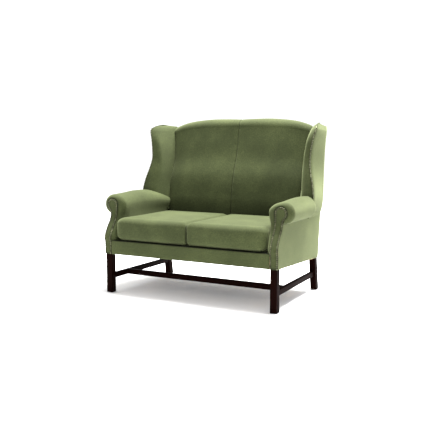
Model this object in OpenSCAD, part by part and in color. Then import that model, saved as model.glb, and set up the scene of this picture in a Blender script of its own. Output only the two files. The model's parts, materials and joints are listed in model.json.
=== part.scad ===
// High back settee for two: winged back, scroll arms, square legs with an H stretcher.
// X runs across the seat, Y from the front to the back, Z up from the floor.
// The origin is on the floor below the middle of the whole settee.
// Left and right are as seen from the front, so right is +X.

/* [Overall] */
// Width across the arm rolls
settee_width = 1322; // [1290:1:1360]
// Depth from the arm fronts to the top of the back
settee_depth = 816; // [795:1:840]
// Height of the back at its middle
settee_height = 1121; // [1090:1:1160]

/* [Legs] */
// Side of the square legs
leg_side = 42; // [38:1:46]
// Height of the upholstery above the floor at the front
leg_height = 254; // [240:1:265]
// Height of the upholstery above the floor at the back
rear_leg_height = 218; // [205:1:230]
// How far the foot of a rear leg kicks back
rear_leg_rake = 38; // [25:1:50]
// How far the legs stand in from the side covers
leg_inset = 7.5; // [6:0.5:10]
// Diameter of the foot glides
glide_diameter = 24; // [20:1:28]
// Thickness of the foot glides
glide_height = 3; // [2:0.5:5]

/* [Stretchers] */
// Height of a stretcher bar
stretcher_height = 33; // [28:1:38]
// Width of a stretcher bar
stretcher_width = 26; // [22:1:28]
// Height of the stretchers above the floor
stretcher_lift = 93; // [80:1:110]
// How far the side stretchers stand in from the leg faces
stretcher_inset = 13; // [10:1:15]
// Distance of the centre stretcher behind the front
stretcher_setback = 190; // [150:1:240]
// Depth of the tenons
tenon_depth = 18; // [14:1:20]
// Shoulder left round a tenon
tenon_shoulder = 7; // [5:1:8]

/* [Seat frame] */
// Width of the upholstered base at the front
base_width = 1204; // [1190:1:1215]
// How much narrower each side is at the back
base_taper = 10; // [4:1:14]
// Height of the front border
border_height = 89; // [80:1:100]
// Thickness of the seat rails
rail_thickness = 26; // [22:1:30]
// Number of zigzag springs
spring_count = 8; // [6:1:9]
// Thickness of the spring wire
spring_wire = 4; // [3:0.5:5]
// Width of a zigzag spring
spring_width = 44; // [36:1:50]

/* [Covers] */
// Thickness of the velvet with its wadding
cover_thickness = 3; // [2:0.5:4]
// Thickness of the deck pad
deck_pad_thickness = 4; // [3:0.5:6]

/* [Cushions] */
// Half width of the seat where the cushions show in front of the arms
cushion_reach = 528; // [515:1:532]
// Height of a cushion at its edge
cushion_height = 145; // [130:1:155]
// Extra height at the middle of a cushion
cushion_crown = 11; // [6:1:16]
// Forward swell of the front edge
cushion_swell = 9; // [4:1:12]

/* [Back] */
// Distance of the back's foot behind the front
back_foot = 600; // [590:1:610]
// How much lower the crest is beside the wings
crest_drop = 45; // [30:1:60]
// Roundness of the crest towards the seat
crest_round = 52; // [45:1:54]

/* [Arms] */
// Clear width between the arms
arm_spacing = 1018; // [1000:1:1030]
// Radius of the padded arm roll
roll_radius = 63; // [58:1:66]
// Height of the roll centre above the floor
roll_height = 566; // [555:1:575]
// How far the arm front sweeps back
sweep_depth = 77; // [60:1:85]
// Rise of the arm top along its middle
arm_rise = 12; // [6:1:16]
// Width of the arm facing below the scroll
facing_width = 52; // [48:1:54]
// Thickness of the arm facing
facing_thickness = 4; // [3:0.5:5]

/* [Wings] */
// Height where the wings start beside the arm rolls
wing_foot = 495; // [490:1:500]
// Height of the wing tops
wing_top = 1089; // [1060:1:1100]

/* [Nails] */
// Diameter of a nail head
nail_diameter = 10.4; // [9:0.2:10.8]
// Height of a nail head
nail_height = 3; // [2:0.5:3.5]
// Distance from one nail to the next
nail_pitch = 11.6; // [11.2:0.2:16]
// Distance of the nails from the edge of the facing
nail_inset = 6; // [5.8:0.2:8]

/* [Hidden] */

// Running clearance between neighbours, and the overrun of cuts
fit_gap = 0.3;
overrun = 60;

// Finishes
velvet = "#7c8a58";
velvet_shade = "#6a784a";
mahogany = "#1e100c";
beech = "#d8b98a";
foam = "#ede6c8";
hessian = "#b89b6a";
black_cloth = "#262626";
steel = "#9aa0a4";
bronze = "#4b4430";

// Depth and height stations
deck_top = leg_height + border_height;
liner_thickness = cover_thickness / 2;
clip_wall = spring_wire * 0.4;
clip_height = spring_wire + 2 * clip_wall + 2 * fit_gap;
liner_bottom = deck_top - cover_thickness - deck_pad_thickness - liner_thickness;
liner_top = liner_bottom + liner_thickness;
rail_top = liner_bottom - clip_height - fit_gap;
rail_lift = 2 * fit_gap + cover_thickness / 2;
dust_thickness = cover_thickness / 2;
border_front = sweep_depth * 0.12;
leg_front = border_front + facing_thickness + fit_gap;
leg_out = base_width / 2 - leg_inset;
arm_inside = arm_spacing / 2;
roll_x = settee_width / 2 - roll_radius;
facing_top = roll_height + facing_width * 0.75;

// Shapes of the back, as shares of its height above the deck and of its depth behind its foot
back_front_shares = [[0, 0], [0.213, 0.046], [0.323, 0.079], [0.512, 0.206],
    [0.672, 0.421], [0.8, 0.54], [0.931, 0.634], [1, 0.66]];
back_rear_shares = [[-0.25, 0.48], [-0.161, 0.514], [0.199, 0.662], [0.303, 0.727], [0.527, 0.769],
    [0.653, 0.801], [0.819, 0.894], [0.901, 0.968], [0.96, 0.995], [1.1, 1]];
// Fall of the crest, as shares of the half width and of the whole drop
crest_shares = [[0, 0], [0.25, 0.03], [0.515, 0.13], [0.787, 0.4], [1, 1], [1.2, 1.7]];

// Side view of the arm front, as shares of the facing's height and of the sweep
sweep_shares = [[0, 0.12], [0.1, 0.12], [0.19, 0.12], [0.24, 0.1], [0.295, 0.04], [0.37, 0.15], [0.486, 0.43],
    [0.595, 0.77], [0.7, 0.96], [0.8, 1], [1, 1], [1.2, 1]];
// Rise and fall of the arm top, as shares of the whole depth and of the rise
rise_shares = [[0, 0], [0.1, 0], [0.25, 0.35], [0.42, 1], [0.6, 0.5], [0.84, -2.7], [1, -3.3]];

// Wing corners, as shares of the wing's height and of the base's half width or the whole depth
wing_edge_x_shares = [[0, 1], [0.105, 1.033], [0.22, 1.05], [0.36, 1.027], [0.489, 0.992],
    [0.597, 0.973], [0.695, 0.976], [0.819, 0.993], [0.929, 1.018], [1, 1.012]];
wing_edge_y_shares = [[0, 0.596], [0.22, 0.596], [0.36, 0.613], [0.489, 0.64], [0.597, 0.663],
    [0.695, 0.67], [0.819, 0.679], [0.929, 0.694], [0.965, 0.72], [1, 0.79]];
wing_lip_x_shares = [[0, 0.914], [0.24, 0.909], [0.342, 0.894], [0.458, 0.884], [0.552, 0.882],
    [0.694, 0.895], [0.819, 0.917], [0.92, 0.939], [1, 0.953]];
wing_lip_y_shares = [[0, 0.602], [0.24, 0.616], [0.342, 0.641], [0.458, 0.665], [0.552, 0.684],
    [0.694, 0.69], [0.819, 0.697], [0.92, 0.733], [0.965, 0.77], [1, 0.82]];
wing_root_x_shares = [[0, 0.735], [0.186, 0.739], [0.3, 0.764], [0.443, 0.782], [0.695, 0.816],
    [0.958, 0.853], [1, 0.86]];
wing_heel_x_shares = [[0, 0.984], [0.2, 1], [1, 1]];
wing_level_shares = [0, 0.11, 0.22, 0.36, 0.49, 0.6, 0.7, 0.82, 0.9, 0.955, 0.985, 1];

// Smooth curve through rows of position and value
function row_of(rows, x, k = 0) = k >= len(rows) - 2 || x < rows[k + 1][0] ? k : row_of(rows, x, k + 1);
function slope_of(rows, k) =
    let (a = rows[max(k - 1, 0)], b = rows[min(k + 1, len(rows) - 1)]) (b[1] - a[1]) / (b[0] - a[0]);
function curve(rows, x) =
    let (k = row_of(rows, x), a = rows[k], b = rows[k + 1], h = b[0] - a[0], t = (x - a[0]) / h)
    (2 * t ^ 3 - 3 * t ^ 2 + 1) * a[1] + (t ^ 3 - 2 * t ^ 2 + t) * h * slope_of(rows, k)
    + (3 * t ^ 2 - 2 * t ^ 3) * b[1] + (t ^ 3 - t ^ 2) * h * slope_of(rows, k + 1);

// Place in Y of a distance behind the foremost point
function fy(d) = d - settee_depth / 2;

// Depth of a filling under the outside of its cover
filling_inset = 1.5 * cover_thickness;

// Outlines that the pieces share
function half_at(d) = base_width / 2 - base_taper * d / (back_foot + rail_thickness * 4);
function bottom_at(d) =
    leg_height - (leg_height - rear_leg_height) * (d - border_front) / (heel - border_front);
function back_share(z) = (z - deck_top) / (settee_height - deck_top);
function rear_at(z) = back_foot + (settee_depth - back_foot) * curve(back_rear_shares, back_share(z));
function front_at(z) = back_foot + (settee_depth - back_foot) * curve(back_front_shares, back_share(z));
function crest_at(x) = settee_height - crest_drop * curve(crest_shares, abs(x) / arm_inside);
function sweep_at(z) = sweep_depth * curve(sweep_shares, (z - leg_height) / (facing_top - leg_height));
function rise_at(d) = arm_rise * curve(rise_shares, d / settee_depth);
heel = back_foot + (settee_depth - back_foot) * 0.514;

// One rounded corner between two neighbours, and a level ring of such corners
function unit_of(v) = v / norm(v);
function bend(a, p, b, reach, steps) =
    let (s = p + unit_of(a - p) * reach, e = p + unit_of(b - p) * reach)
    [for (k = [0:steps]) let (t = k / steps) s * (1 - t) ^ 2 + 2 * p * t * (1 - t) + e * t ^ 2];
function between(a, b, count) = count < 1 ? [] : [for (k = [1:count]) a + (b - a) * k / (count + 1)];

// Ring of corners, each row holding the corner, its reach, its bend steps and the points on the edge after it
function ring_of(rows) =
    let (n = len(rows), bends = [for (k = [0:n - 1])
        bend(rows[(k + n - 1) % n][0], rows[k][0], rows[(k + 1) % n][0], rows[k][1], rows[k][2])])
    [for (k = [0:n - 1]) each concat(bends[k],
        between(bends[k][rows[k][2]], bends[(k + 1) % n][0], rows[k][3]))];

// Solid through rings of equally many points, each ring seen anticlockwise from the far end
function middle_of(ring) = [for (axis = [0:2]) [for (q = ring) 1] * [for (q = ring) q[axis]] / len(ring)];
module loft(rings) {
    n = len(rings[0]);
    m = len(rings);
    polyhedron(
        points = concat([for (ring = rings) each ring], [middle_of(rings[0]), middle_of(rings[m - 1])]),
        faces = concat(
            [for (i = [0:n - 1]) [i, (i + 1) % n, m * n]],
            [for (k = [0:m - 2], i = [0:n - 1]) each [
                [k * n + i, (k + 1) * n + i, (k + 1) * n + (i + 1) % n],
                [k * n + i, (k + 1) * n + (i + 1) % n, k * n + (i + 1) % n]]],
            [for (i = [0:n - 1]) [(m - 1) * n + (i + 1) % n, (m - 1) * n + i, m * n + 1]]
        )
    );
}

// Closed sheet between two grids of points, each grid a list of lines from low to high
function quad(a, b, c, d) = [[a, c, b], [a, d, c]];
module sheet(outer, inner) {
    m = len(outer);
    n = len(outer[0]);
    function o(i, j) = i * n + j;
    function p(i, j) = (m + i) * n + j;
    polyhedron(
        points = concat([for (line = outer) each line], [for (line = inner) each line]),
        faces = concat(
            [for (i = [0:m - 2], j = [0:n - 2])
                each quad(o(i, j), o(i + 1, j), o(i + 1, j + 1), o(i, j + 1))],
            [for (i = [0:m - 2], j = [0:n - 2])
                each quad(p(i, j), p(i, j + 1), p(i + 1, j + 1), p(i + 1, j))],
            [for (j = [0:n - 2]) each quad(o(0, j), o(0, j + 1), p(0, j + 1), p(0, j))],
            [for (j = [0:n - 2]) each quad(o(m - 1, j + 1), o(m - 1, j), p(m - 1, j), p(m - 1, j + 1))],
            [for (i = [0:m - 2]) each quad(o(i + 1, 0), o(i, 0), p(i, 0), p(i + 1, 0))],
            [for (i = [0:m - 2]) each quad(o(i, n - 1), o(i + 1, n - 1), p(i + 1, n - 1), p(i, n - 1))]
        )
    );
}

// Side view carried across, front view carried back, and the left hand copy
module across(from, width) translate([from, 0, 0]) rotate([90, 0, 90]) linear_extrude(width) children();
module deep(from, length)
    translate([0, from + length, 0]) rotate([90, 0, 0]) linear_extrude(length) children();
module left() mirror([1, 0, 0]) children();
module both() {
    children();
    mirror([1, 0, 0]) children();
}

// Legs and stretchers
post_in = leg_out - base_taper - leg_side;
post_top = settee_height - 2 * crest_drop;
back_steps = 14;
function back_z(k) = rear_leg_height + (settee_height - rear_leg_height) * k / back_steps;
post_levels = concat([for (k = [0:back_steps]) if (back_z(k) < post_top) back_z(k)], [post_top]);
back_levels = concat(post_levels, [for (k = [0:back_steps]) if (back_z(k) > post_top) back_z(k)]);
function post_rear(z) = rear_at(z) - cover_thickness - fit_gap;
foot_rear = post_rear(rear_leg_height) + rear_leg_rake;
function rake_at(z) = rear_leg_rake * (1 - z / rear_leg_height);
stretcher_mid = stretcher_lift + stretcher_height / 2;
side_bar_front = leg_front + leg_side;
side_bar_rear = post_rear(rear_leg_height) + rake_at(stretcher_mid) - leg_side;

module front_leg_block()
    translate([leg_out - leg_side, fy(leg_front), glide_height])
        cube([leg_side, leg_side, rail_top - glide_height]);

module rear_leg_block()
    across(post_in, leg_side) polygon(concat(
        [[fy(foot_rear), glide_height]],
        [for (z = post_levels) [fy(post_rear(z)), z]],
        [for (k = [len(post_levels) - 1:-1:0]) [fy(post_rear(post_levels[k]) - leg_side), post_levels[k]]],
        [[fy(foot_rear - leg_side), glide_height]]
    ));

// Plan of a side stretcher, drawn in on both faces by a shoulder
function bar_out(d) = half_at(d) - leg_inset - stretcher_inset;
module side_bar(shoulder, ends)
    translate([0, 0, stretcher_lift + shoulder]) linear_extrude(stretcher_height - 2 * shoulder)
        polygon([for (q = [[0, -1], [0, 1], [1, 1], [1, -1]])
            let (d = q.y < 0 ? side_bar_front - ends : side_bar_rear + ends)
            [bar_out(d) - (q.x > 0 ? stretcher_width - shoulder : shoulder), fy(d)]]);

module centre_bar(shoulder, ends) {
    reach = bar_out(stretcher_setback) - stretcher_width + ends;
    translate([-reach, fy(stretcher_setback) + shoulder, stretcher_lift + shoulder])
        cube([2 * reach, stretcher_width - 2 * shoulder, stretcher_height - 2 * shoulder]);
}

module front_leg() color(mahogany) difference() {
    front_leg_block();
    side_bar(tenon_shoulder, tenon_depth);
    front_bolt(fit_gap);
}

module rear_leg() color(mahogany) difference() {
    rear_leg_block();
    side_bar(tenon_shoulder, tenon_depth);
    rear_bolt(fit_gap);
}

module side_stretcher() color(mahogany) difference() {
    union() {
        difference() {
            side_bar(0, leg_side);
            front_leg_block();
            rear_leg_block();
            translate([0, fy(0), 0]) cube([base_width, side_bar_front, leg_height]);
            translate([0, fy(side_bar_rear + leg_side / 2), 0]) cube([base_width, base_width, leg_height]);
        }
        side_bar(tenon_shoulder, tenon_depth);
    }
    centre_bar(tenon_shoulder, tenon_depth);
}

module centre_stretcher() color(mahogany) {
    difference() {
        centre_bar(0, stretcher_width);
        both() side_bar(0, 0);
        both() translate([bar_out(stretcher_setback) - stretcher_width / 2, fy(0), 0])
            cube([base_width, settee_depth, leg_height]);
    }
    centre_bar(tenon_shoulder, tenon_depth);
}

module glides() color(steel) both() {
    translate([leg_out - leg_side / 2, fy(leg_front + leg_side / 2), 0])
        cylinder(d = glide_diameter, h = glide_height, $fn = 48);
    translate([post_in + leg_side / 2, fy(foot_rear - leg_side / 2), 0])
        cylinder(d = glide_diameter, h = glide_height, $fn = 48);
}

// Seat rails, blocks and bolts
rail_out = cover_thickness + fit_gap;
block_reach = leg_side * 1.5;
block_height = rail_top - leg_height - 2 * rail_lift;
bolt_radius = leg_side / 10;
bolt_z = rail_top - block_height * 0.55;

module base_profile(lift)
    polygon([[fy(border_front), bottom_at(border_front) + lift], [fy(heel), bottom_at(heel) + lift],
        [fy(heel + rear_leg_rake), bottom_at(heel) + lift], [fy(heel + rear_leg_rake), rail_top],
        [fy(border_front), rail_top]]);

module front_rail() color(beech)
    translate([leg_side - leg_out, fy(leg_front), leg_height + rail_lift])
        cube([2 * (leg_out - leg_side), rail_thickness, rail_top - leg_height - rail_lift]);

module rear_rail() color(beech)
    across(-post_in, 2 * post_in) polygon(concat(
        [for (z = [rear_leg_height + rail_lift, rail_top]) [fy(post_rear(z)), z]],
        [for (z = [rail_top, rear_leg_height + rail_lift]) [fy(post_rear(z) - rail_thickness), z]]
    ));

module side_rail() color(beech) difference() {
    intersection() {
        linear_extrude(rail_top) polygon([for (q = [[0, 0], [1, 0], [1, 1], [0, 1]])
            let (d = q.y > 0 ? heel : side_bar_front) [half_at(d) - rail_out - q.x * rail_thickness, fy(d)]]);
        across(0, base_width) base_profile(rail_lift);
    }
    rear_leg_block();
    translate([0, fy(side_bar_rear), 0]) cube([post_in, settee_depth, settee_height]);
    translate([post_in, fy(post_rear(rear_leg_height) - leg_side), 0])
        cube([base_width, settee_depth, settee_height]);
}

module middle_rail() color(beech) difference() {
    translate([-rail_thickness / 2, fy(leg_front + rail_thickness), leg_height + rail_thickness])
        cube([rail_thickness, heel - leg_front - rail_thickness, rail_top - leg_height - 2 * rail_thickness]);
    rear_rail();
    translate([-base_width / 2, fy(heel - rail_thickness / 2), 0])
        cube([base_width, settee_depth, leg_height * 2]);
}

module block_body(points)
    translate([0, 0, rail_top - block_height]) linear_extrude(block_height - rail_lift) polygon(points);

module front_block() {
    in = leg_out - leg_side;
    fr = leg_front + rail_thickness;
    far = side_bar_front + block_reach;
    block_body([[in, fy(fr)], [in, fy(side_bar_front)],
        [half_at(side_bar_front) - rail_out - rail_thickness, fy(side_bar_front)],
        [half_at(far) - rail_out - rail_thickness, fy(far)], [in - block_reach, fy(fr)]]);
}

module rear_block() {
    near = post_rear(rail_top) - leg_side - block_reach;
    side = half_at(near) - rail_out - rail_thickness;
    difference() {
        block_body([[side, fy(near)], [half_at(heel) - rail_out - rail_thickness, fy(heel)],
            [post_in, fy(heel)], [post_in - block_reach, fy(heel)],
            [post_in - block_reach, fy(post_rear(rail_top) - 2 * rail_thickness)]]);
        rear_leg_block();
        rear_rail();
        translate([post_in - 2 * block_reach, fy(post_rear(rear_leg_height) - rail_thickness), 0])
            cube([2 * block_reach, settee_depth, settee_height]);
        translate([post_in, fy(post_rear(rear_leg_height) - leg_side), 0])
            cube([base_width, settee_depth, settee_height]);
    }
}

module bolt(clear, reach) {
    cylinder(r = bolt_radius + clear, h = reach, $fn = 32);
    translate([0, 0, reach - bolt_radius])
        cylinder(r = 2 * bolt_radius + clear, h = bolt_radius + clear * 2, $fn = 32);
}

module front_bolt(clear)
    translate([leg_out - leg_side * 0.7, fy(leg_front + leg_side * 0.7), bolt_z])
        rotate([-90, 0, 45]) bolt(clear, leg_side * 1.45);

module rear_bolt(clear)
    translate([post_in + leg_side * 0.3, fy(post_rear(bolt_z) - leg_side * 0.75), bolt_z])
        rotate([-90, 0, 135]) bolt(clear, leg_side * 1.45);

module blocks() color(beech) both() {
    difference() {
        front_block();
        front_bolt(fit_gap);
    }
    difference() {
        rear_block();
        rear_bolt(fit_gap);
    }
}

module bolts() color(steel) both() {
    front_bolt(0);
    rear_bolt(0);
}

// Zigzag springs from the front rail to the rear rail, and their clips
spring_front = leg_front + rail_thickness * 0.4;
spring_rear = post_rear(rail_top) - rail_thickness * 0.6;
spring_turns = 12;
spring_z = rail_top + clip_wall + fit_gap;
spring_pitch = (2 * arm_inside) / spring_count;
clip_length = spring_wire * 3;
clip_width = spring_width * 0.6;
function spring_x(k) = (k - (spring_count - 1) / 2) * spring_pitch;
module zigzag() {
    step = (spring_rear - spring_front) / spring_turns;
    for (k = [0:spring_turns])
        translate([-spring_width / 2, fy(spring_front + k * step) - spring_wire / 2, spring_z])
            cube([spring_width, spring_wire, spring_wire]);
    for (k = [0:spring_turns - 1])
        translate([(k % 2 == 0 ? 1 : -1) * (spring_width - spring_wire) / 2 - spring_wire / 2,
            fy(spring_front + k * step), spring_z]) cube([spring_wire, step, spring_wire]);
}

module springs() color(steel) for (k = [0:spring_count - 1]) translate([spring_x(k), 0, 0]) zigzag();

module clip() difference() {
    translate([-clip_width / 2, -clip_length / 2, rail_top]) cube([clip_width, clip_length, clip_height]);
    translate([-clip_width, -spring_wire / 2 - fit_gap, rail_top + clip_wall])
        cube([2 * clip_width, clip_length, spring_wire + 2 * fit_gap]);
}

module clips() color(steel) for (k = [0:spring_count - 1]) translate([spring_x(k), 0, 0]) {
    translate([0, fy(spring_front), 0]) clip();
    translate([0, fy(spring_rear), 0]) mirror([0, 1, 0]) clip();
}

// Deck, border and dust cover
deck_side = arm_inside - fit_gap;
liner_side = leg_out - leg_side;

module liner() color(hessian)
    translate([-liner_side, fy(leg_front), liner_bottom])
        cube([2 * liner_side, spring_rear + rail_thickness / 2 - leg_front - leg_side, liner_thickness]);

module pad_on_deck() color(foam)
    translate([-deck_side, fy(leg_front), liner_top])
        cube([2 * deck_side, back_foot - fit_gap - leg_front, deck_pad_thickness]);

module deck_velvet() color(velvet_shade)
    translate([-deck_side, fy(leg_front), deck_top - cover_thickness])
        cube([2 * deck_side, back_foot - fit_gap - leg_front, cover_thickness]);

module border() color(velvet)
    translate([-facing_in + fit_gap, fy(border_front), leg_height])
        cube([2 * (facing_in - fit_gap), facing_thickness, border_height]);

module dust() color(black_cloth) difference() {
    end = post_rear(rear_leg_height) - rail_thickness - fit_gap;
    low = fit_gap;
    high = fit_gap + dust_thickness;
    across(-post_in, 2 * post_in) polygon([
        [fy(leg_front), bottom_at(leg_front) + low], [fy(end), bottom_at(end) + low],
        [fy(end), bottom_at(end) + high], [fy(leg_front), bottom_at(leg_front) + high]]);
    both() translate([leg_out - leg_side - fit_gap, fy(0), 0])
        cube([leg_side, side_bar_front + fit_gap, leg_height * 2]);
}

// Envelope of the back between its wings, drawn in by an inset
back_station_shares = [-1, -0.8, -0.55, -0.28, 0, 0.28, 0.55, 0.8, 1];
back_line_shares = [0, 0.12, 0.22, 0.34, 0.5, 0.66, 0.8];
back_reach = arm_inside * 1.03;
arc_steps = 4;
arm_clear = roll_height + roll_radius + arm_rise;

// Half width of the back where its side meets the inner face of a wing or an arm
function wing_face_at(y, z) =
    let (c = wing_corner(min(max((z - wing_foot) / (wing_top - wing_foot), 0), 1), 0))
    c[1].x + (c[0].x - c[1].x) * (y - c[1].y) / (c[0].y - c[1].y);
function back_half(y, z, clear) = min(wing_face_at(y, z), z < arm_clear ? arm_inside : base_width) - clear;

// Line up the front of the back and over its crest, and line up behind its filling
function back_line(share, inset, foot, clear) =
    let (top = crest_at(share * back_reach) - inset,
        grow = (top + inset - deck_top) / (settee_height - deck_top),
        round_in = crest_round * grow - inset, round_out = crest_round * 0.4 - inset,
        low_in = front_at((top - round_in - deck_top) / grow + deck_top) + inset,
        low_out = post_rear(top - round_out) - inset,
        line = concat(
            [for (s = back_line_shares) let (z = deck_top + (top - deck_top) * s)
                [front_at((z - deck_top) / grow + deck_top) + inset, s == 0 ? foot : z]],
            [for (k = [arc_steps:-1:0]) let (a = 90 + 90 * k / arc_steps)
                [low_in + round_in * (1 + cos(a)), top - round_in * (1 - sin(a))]],
            [for (k = [arc_steps - 1:-1:0]) let (a = 90 * k / arc_steps)
                [low_out - round_out * (1 - cos(a)), top - round_out * (1 - sin(a))]]
        ))
    [for (q = line) [share * back_half(fy(q.x), q.y, clear), fy(q.x), q.y]];

function filling_line(share, foot, clear) =
    let (top = crest_at(share * back_reach), last = back_line_shares[len(back_line_shares) - 1],
        steps = 2 * arc_steps - 1, low = deck_top + (top - deck_top) * last,
        line = concat(
            [for (s = back_line_shares) let (z = deck_top + (top - deck_top) * s)
                [post_rear(z) - filling_ahead, s == 0 ? foot : z]],
            [for (k = [1:steps]) let (z = low + (post_top + fit_gap - low) * k / steps)
                [post_rear(z) - filling_ahead, z]],
            [for (lift = [fit_gap, 2 * fit_gap]) [post_rear(post_top) - 4 * cover_thickness, post_top + lift]]
        ))
    [for (q = line) [share * back_half(fy(q.x), q.y, clear), fy(q.x), q.y]];

module back_velvet() color(velvet)
    sheet([for (share = back_station_shares) if (share <= 0) back_line(share, 0, deck_top, filling_inset)],
        [for (share = back_station_shares) if (share <= 0)
            back_line(share, cover_thickness, deck_top, filling_inset)]);

// Envelope of a wing, drawn in by an inset
function wing_z(s) = wing_foot + (wing_top - wing_foot) * s;
function wing_draw(s) = cover_thickness * (s < 0.93 ? 0 : 60 * (s - 0.93));
function wing_corner(s, inset) =
    let (z = wing_z(s), half = base_width / 2, draw = inset + wing_draw(s))
    [[half * curve(wing_root_x_shares, s) + draw, fy(post_rear(z) - inset - leg_side / 2)],
     [half * curve(wing_lip_x_shares, s) + draw, fy(settee_depth * curve(wing_lip_y_shares, s) + inset)],
     [half * curve(wing_edge_x_shares, s) - draw, fy(settee_depth * curve(wing_edge_y_shares, s) + inset)],
     [half * curve(wing_heel_x_shares, s) - draw, fy(post_rear(z) - inset)]];
wing_bend_shares = [0.1, 0.42, 0.16, 0.1];

function wing_ring(s, inset, z) =
    let (c = wing_corner(s, inset), band = norm(c[1] - c[2]))
    [for (k = [0:3]) each [for (q = bend(c[(k + 3) % 4], c[k], c[(k + 1) % 4], band * wing_bend_shares[k], 3))
        [q.x, q.y, z]]];

module wing_form(inset, foot, top)
    loft(concat(foot < wing_foot ? [wing_ring(0, inset, foot)] : [],
        [for (s = wing_level_shares) wing_ring(s, inset,
            s == 0 ? max(foot, wing_foot) : s == 1 ? top : wing_z(s) - (s > 0.93 ? inset : 0))]));

// Skin region outside the line from the nail row to the rear corner of a wing
module wing_outer_side()
    loft([for (s = wing_level_shares) let (c = wing_corner(s, cover_thickness + fit_gap), z = wing_z(s),
        grow = s == 0 ? -overrun : s == 1 ? overrun : 0)
        [for (q = [c[2] + [0, 2 * cover_thickness], [2 * base_width, c[2].y + 2 * cover_thickness],
            [2 * base_width, fy(2 * settee_depth)], [c[3].x, fy(2 * settee_depth)]])
            [q.x, q.y, z + grow]]]);

// Envelopes of an arm's panel and of its roll, drawn in by an inset and run on past their open ends
arm_foot = liner_top + fit_gap;
arm_level_shares = [0, 0.2, 0.4, 0.6, 0.8, 1];
roll_angles = [-70, -45, -20, 0, 25, 50, 70, 82, 90];
crown_width = roll_radius * 0.87;
facing_in = arm_inside + roll_radius * 0.635;
arm_front_soft = roll_radius * 0.55;
arm_end = settee_depth * 0.596 - 2 * cover_thickness;
arm_back = back_foot + rail_thickness;
flare = cushion_reach - arm_inside + cover_thickness;
flare_end = sweep_depth * 1.95;
function flare_at(d) = flare * (1 - (d - border_front) / (flare_end - border_front));

// Ring at one height from its inner X, outer X at the front and the rear, rear depth and front setback
function arm_ring(z, in, out, out_far, far, setback, inset) =
    let (d = sweep_at(min(z, facing_top)) + facing_thickness + fit_gap + inset + setback,
        soft = min(arm_front_soft, (out - in - flare_at(d)) * 0.42),
        ring = ring_of([[[in + flare_at(d), fy(d)], soft, 3, 0], [[out, fy(d)], soft, 3, 8],
            [[out_far, fy(far)], soft * 0.2, 1, 0], [[in, fy(far)], soft * 0.2, 1, 8],
            [[in, fy(flare_end)], soft * 0.2, 1, 0]]),
        lift = max(z - wing_foot, 0) / (roll_height + roll_radius - wing_foot))
    [for (q = ring) [q.x, q.y, z + lift * rise_at(q.y + settee_depth / 2)]];
function moved(ring, rise) = [for (q = ring) q + [0, 0, rise]];

module arm_panel_form(inset, extra)
    loft(let (rings = [for (s = arm_level_shares) arm_ring(arm_foot + (wing_foot - arm_foot) * s,
            arm_inside + inset, half_at(sweep_depth) - rail_out - inset,
            half_at(arm_back + extra) - rail_out - inset, arm_back + extra, 0, inset)])
        extra > 0 ? concat([moved(rings[0], -extra)], rings, [moved(rings[len(rings) - 1], extra)]) : rings);

module arm_roll_form(inset, extra)
    loft(let (far = arm_end + extra, top = roll_height + roll_radius - inset,
        low = arm_ring(wing_foot + fit_gap, arm_inside + inset,
            half_at(sweep_depth) - rail_out - inset, half_at(far) - rail_out - inset, far, 0, inset))
        concat(extra > 0 ? [moved(low, -extra)] : [], [low],
            [for (a = roll_angles) let (out = roll_x + (roll_radius - inset) * cos(a))
                arm_ring(roll_height + (roll_radius - inset) * sin(a),
                    arm_inside + inset + (a > 0 ? crown_width * (1 - cos(a)) : 0), out, out, far,
                    a > 45 ? arm_front_soft * (sin(a) - sin(45)) * 2 : 0, inset)],
            [arm_ring(top + fit_gap / 2, roll_x - facing_width * 0.2, roll_x, roll_x, far,
                arm_front_soft * (1 - sin(45)) * 2, inset)]));

// Hard parts inside the arms and wings
arm_post_in = facing_in + facing_width * 0.16;
arm_post_width = facing_width * 0.66;
arm_post_depth = facing_width * 0.87;
arm_post_top = roll_height + facing_width * 0.55;
arm_rail_height = facing_width * 0.54;
arm_rail_width = facing_width * 0.75;
arm_rail_bottom = roll_height - arm_rail_height / 2;
scroll_radius = facing_width * 0.55;

module arm_post_body() {
    steps = 24;
    levels = [for (k = [0:steps]) rail_top + (arm_post_top - rail_top) * k / steps];
    across(arm_post_in, arm_post_width) polygon(concat(
        [for (z = levels) [fy(arm_post_front(z)), z]],
        [for (k = [steps:-1:0]) [fy(arm_post_front(levels[k]) + arm_post_depth), levels[k]]]
    ));
    translate([scroll_centre_x, fy(arm_post_front(roll_height) + arm_post_depth), roll_height])
        rotate([90, 0, 0]) cylinder(r = scroll_radius, h = arm_post_depth, $fn = 64);
}
function arm_post_front(z) = sweep_at(z) + facing_thickness + 2 * fit_gap;

module arm_rail_body() difference() {
    start = arm_post_front(roll_height) + arm_post_depth + fit_gap;
    translate([arm_post_in, fy(start), arm_rail_bottom])
        cube([arm_rail_width, post_rear(arm_rail_bottom) - leg_side / 2 - start, arm_rail_height]);
    rear_leg_block();
}

// Room behind the front of a rear post, kept clear of covers and fillings
module post_room()
    across(0, post_in + leg_side + fit_gap) polygon(concat(
        [for (z = post_levels) [fy(post_rear(z) - leg_side), z]],
        [[fy(2 * settee_depth), post_top], [fy(2 * settee_depth), rear_leg_height]]
    ));

wing_board_in = base_width * 0.4705;
wing_board_thickness = rail_thickness * 0.54;
wing_board_margin = leg_side * 0.8;
wing_board_shares = [0.17, 0.3, 0.45, 0.6, 0.75, 0.88];

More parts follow.
